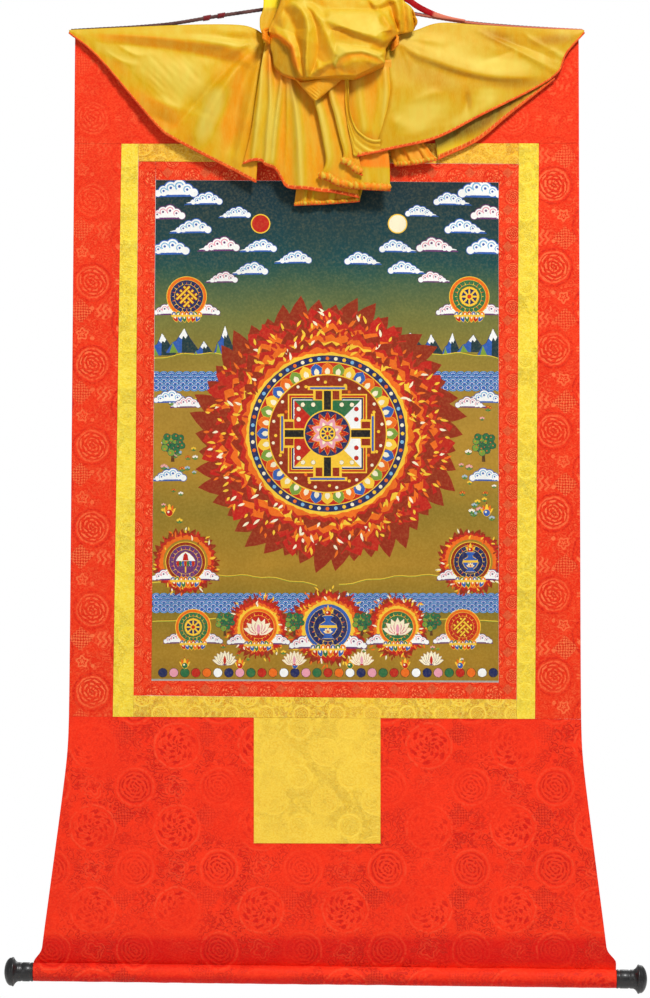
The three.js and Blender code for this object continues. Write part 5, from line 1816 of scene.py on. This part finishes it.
def country(p):
    """Peaks over water behind the wheel, meadows, and a second water before the foot."""
    vary = p.random.uniform
    for k in range(17):
        base = (-152 + 19 * k, -326 + 3 * math.sin(k * 2.2))
        peak(p, base, 13 + 3 * math.sin(k * 1.7), 20 + 9 * math.sin(k * 2.9))
    hill(p, -170, -60, -332, 7)
    hill(p, 60, 170, -332, 7)
    water(p, -344)
    for k in range(40):
        spot = (vary(120, 153) * (-1) ** k, vary(-486, -368))
        flower_spray(p, spot, vary(2.2, 4), ("red", "white", "pink", "gold", "sky")[k % 5])
    for way in (-1, 1):
        cloud(p, (way * 146, -366), 8, BANKS, way)
        cloud(p, (way * 130, -371), 7, DUSK, way)
        tree(p, (way * 143, -424), 15, "orange")
        cloud(p, (way * 145, -438), 8, BANKS, way)
        jewel(p, (way * 146, -474), 5, "blue" if way > 0 else "red")
    hill(p, -170, -10, -538, 9)
    hill(p, 10, 170, -538, 9)
    water(p, -548)
    hill(p, -170, 170, -572, 5)


def frieze(p):
    """The foot of the picture: medallions, a line of beads with jewels, lotuses, trees and flowers."""
    vary = p.random.uniform
    for x, r, symbol, back in FRIEZE_ROW:
        if abs(x) < 100:
            flames(p, (x, FRIEZE), r * 1.2, 34, r * 0.62)
            flames(p, (x, FRIEZE), r * 1.06, 30, r * 0.5, ("red", "orange", "gold"))
            flecks(p, (x, FRIEZE), r * 1.05, r * 1.7, 90, 4)
        medallion(p, (x, FRIEZE), r, symbol, back, "blue" if x == 0 else "orange")
    for k in range(31):
        x = -152 + 304 * k / 30
        p.disc((x, -618), 4.0, ("navy", "pink", "green", "red", "orange", "white")[k % 6], "ink", 0.4)
        if k % 5 == 2:
            jewel(p, (x, -614), 4.2, ("blue", "red", "green")[k % 3])
    for x in (-95, -31, 31, 95):
        lotus(p, (x, -610), 12, *(("pink", "cream", "red") if abs(x) < 50 else ("red", "cream", "plum")), 9)
        tree(p, (x, -584), 12)
    for k in range(60):
        x, z = vary(-154, 154), vary(-608, -566)
        if all(math.hypot(x - at, z - FRIEZE) > r * 1.9 for at, r, _, _ in FRIEZE_ROW):
            flower_spray(p, (x, z), vary(1.6, 3), ("gold", "white", "red", "leaf", "pink")[k % 5])


def design(outline):
    """A wheel of rings in the middle, a medallion in each corner, and a row of five along the foot."""
    p = Print()
    p.area(outline[[3, 0, 1, 2]], ground_ink)
    sky(p)
    country(p)
    for way, upper, lower in ((-1, (knot, "navy"), (parasol, "plum")), (1, (wheel, "green"), (vase, "navy"))):
        medallion(p, (way * UPPER[0], UPPER[1]), 18, *upper, "orange")
        centre = (way * LOWER[0], LOWER[1])
        flames(p, centre, 22, 32, 11)
        flecks(p, centre, 19, 29, 70, 4)
        medallion(p, centre, 18, *lower, "rust")
    ring_wheel(p, MIDDLE, WHEEL_RADIUS)
    frieze(p)
    left, right = np.array(PICTURE["bl"]), np.array(PICTURE["br"])
    p.area([left + (-3, -3), right + (3, -3), right + (3, 1.6), left + (-3, 1.6)], "grey")
    return p


def sides_of(loop):
    return list(zip(loop, np.roll(loop, -1, 0)))


def painted(loops, step, corner, shape):
    """Which area is on top at each point of a fine lattice, with its lower left point at corner."""
    top = np.zeros(shape, np.int32)
    for k, loop in enumerate(loops):
        low = np.maximum(np.floor((loop.min(0) - corner) / step).astype(int), 0)
        high = np.minimum(np.ceil((loop.max(0) - corner) / step).astype(int) + 1, (shape[1], shape[0]))
        if (high <= low).any():
            continue
        xs, zs = (corner[n] + step * np.arange(low[n], high[n]) for n in (0, 1))
        inside = np.zeros((len(zs), len(xs)), bool)
        for (xa, za), (xb, zb) in sides_of(loop):
            rows = (za > zs) != (zb > zs)
            if rows.any():
                cross = xa + (zs[rows] - za) / (zb - za) * (xb - xa)
                inside[rows] ^= xs[None, :] < cross[:, None]
        top[low[1]:high[1], low[0]:high[0]][inside] = k
    return top


def along_sides(loop, longest):
    """Points along a loop's sides, from each corner on, at most longest apart."""
    counts = [max(int(np.ceil(np.linalg.norm(b - a) / longest)), 1) for a, b in sides_of(loop)]
    points = [a + (b - a) * np.arange(n)[:, None] / n for (a, b), n in zip(sides_of(loop), counts)]
    return np.concatenate(points)


def divided(p, outline, step=0.25, longest=1.6, apart=0.3):
    """Points and triangles that divide the outline along the seen edges of the print's areas."""
    low, high = outline.min(0) - 1, outline.max(0) + 1
    shape = tuple(int(n) for n in np.ceil((high - low) / step)[::-1])
    top = painted(p.loops, step, low, shape)
    last = np.array(shape[::-1]) - 2
    cells = lambda q: tuple(np.clip(np.round((q - low) / step).astype(int), 1, last).T[::-1])
    kept = {}

    def keep(points):
        for q in points:
            kept.setdefault(tuple(np.round(q / apart).astype(int)), q)

    keep(along_sides(outline, longest))
    keep(np.stack(np.meshgrid(*[np.arange(low[k] + 7, high[k] - 6, 6) for k in (0, 1)]), -1).reshape(-1, 2))
    for k, loop in enumerate(p.loops[1:], 1):
        dots = along_sides(loop, longest)
        row, column = cells(dots)
        near = np.stack([top[row + i, column + j] for i in (-1, 0, 1) for j in (-1, 0, 1)])
        seen = (near == k).any(0) & (near != k).any(0)
        for a, b in sides_of(outline):
            ahead = unit(b - a)
            seen &= ahead[0] * (dots[:, 1] - a[1]) - ahead[1] * (dots[:, 0] - a[0]) > 0.3
        keep(dots[seen])
    verts, _, faces, *_ = delaunay_2d_cdt([Vector(q) for q in kept.values()], [], [], 0, 1e-5, False)
    flat, faces = (np.array([tuple(v) for v in values]) for values in (verts, faces))
    return flat, faces, top[cells(flat[faces].mean(1))]


def print_cloth():
    m = Material("picture_print", Specular_IOR_Level=0.2)
    weave = (m.x * (TURN / 0.8)).sin() * (m.z * (TURN / 0.8)).sin() * 0.5 + 0.5
    mottle = m.noise(2.2, 3.0, (1, 1, 1), 0.65)
    colour = m.layered(m.tint(), [(mottle, 0.6, 0.3, 0.07, srgb(246, 214, 120)),
                                  (1 - mottle, 0.6, 0.3, 0.12, srgb(60, 36, 10)),
                                  (1 - m.noise(34, 3.0), 0.55, 0.4, 0.16, srgb(70, 66, 10))])
    return m.finish(colour, 0.5 + weave * 0.1 + mottle * 0.1, weave * 0.6 + mottle * 0.4, 0.08)


def print_lining():
    m = Material("picture_back", Specular_IOR_Level=0.2)
    slub = m.noise(1.2, 3.0, (0.3, 1, 1.5))
    return m.finish(m.blend(slub, srgb(226, 216, 190), srgb(196, 184, 152)), 0.85 - slub * 0.1, slub, 0.15)


def make_picture():
    """One closed cloth whose front is divided along the edges of the print's areas."""
    tl, tr, bl, br = drawn_in_corners(PICTURE.values())
    outline = np.array([bl, br, tr, tl])
    p = design(outline)
    flat, faces, owner = divided(p, outline)
    cloth = on_mount(flat[:, 0], flat[:, 1])
    edges = {(f[k], f[(k + 1) % 3]) for f in faces.tolist() for k in range(3)}
    following = {a: b for a, b in edges if (b, a) not in edges}
    rim = [next(iter(following))]
    while following[rim[-1]] != rim[0]:
        rim.append(following[rim[-1]])
    place = {v: len(flat) + k for k, v in enumerate(rim)}
    walls = [(b, a, place[a], place[b]) for a, b in zip(rim, rim[1:] + rim[:1])]
    half = np.array((0, BROCADE / 2, 0))
    shape = Shape()
    whole_back = [place[v] for v in reversed(rim)]
    shape.add(np.vstack([cloth - half, cloth[rim] + half]), [*faces.tolist(), *walls, whole_back],
              [FRONT] * len(faces) + [EDGE] * len(walls) + [BACK])
    canvas, lining = print_cloth(), print_lining()
    piece = shape.build("cloth_picture_panel", [canvas, lining, lining], "picture_cloth")
    shades = {o: None if callable(p.colours[o]) else srgb(*p.colours[o]) for o in set(owner.tolist())}
    colours = np.ones((len(piece.data.loops), 4))
    for k, (face, o) in enumerate(zip(faces.tolist(), owner.tolist())):
        for j, i in enumerate(face):
            colours[3 * k + j, :3] = shades[o] or srgb(*p.colours[o](*flat[i]))
    layer = piece.data.color_attributes.new("tint", "FLOAT_COLOR", "CORNER")
    layer.data.foreach_set("color", colours.ravel())
    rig.replaces(piece, "picture_panel")
    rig.sheet(piece, flat=(0.317, 0.461), held="hung", rests_on=["cloth_border_top"])


make_picture()


# ---------------------------------------------------------------- stage and light

def make_stage(reach=1.4, low=-1.15):
    m = Material("pale_floor")
    soft = m.noise(140, 3.0)
    colour = m.blend(soft, srgb(236, 236, 234), srgb(242, 242, 241))
    mesh = bpy.data.meshes.new("floor")
    corners = [(-reach, -reach), (reach, -reach), (reach, reach), (-reach, reach)]
    mesh.from_pydata([(*corner, low) for corner in corners], [], [(0, 1, 2, 3)])
    mesh.materials.append(m.finish(colour, 0.7 + soft * 0.1, m.noise(4, 3.0), 0.05))
    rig.stage(linked("floor", mesh))


def make_light(name, place, towards, size, power):
    data = bpy.data.lights.new(name, "AREA")
    data.shape = "DISK"
    data.size = size
    data.energy = power
    light = linked(name, data)
    light.location = place
    light.rotation_euler = (Vector(towards) - Vector(place)).to_track_quat("-Z", "Y").to_euler()


def make_world(seen, shed):
    """White where the camera sees past the object, and a softer light where it falls on it."""
    world = bpy.data.worlds.new("studio")
    world.use_nodes = True
    tree = world.node_tree
    path = add_node(tree, "LightPath")
    strength = Field(tree, path.outputs["Is Camera Ray"]) * (seen - shed) + shed
    put(tree, tree.nodes["Background"].inputs["Color"], (1, 1, 1))
    put(tree, tree.nodes["Background"].inputs["Strength"], strength)
    bpy.context.scene.world = world


make_stage()
make_world(1.0, 0.3)
make_light("key", (0.7, -1.9, 1.7), (0, 0, -0.3), 0.6, 73)
make_light("fill", (-1.8, -2.4, -0.1), (0, 0, -0.5), 1.6, 9)
make_light("back", (0.6, 2.4, 0.8), (0, 0, -0.4), 1.6, 20)
bpy.context.scene.view_settings.view_transform = "Standard"

with open("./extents.json", "w") as f:
    json.dump({"cad": [list(c) for c in CAD_BOX], "visual": [list(c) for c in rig.bounds()]}, f)
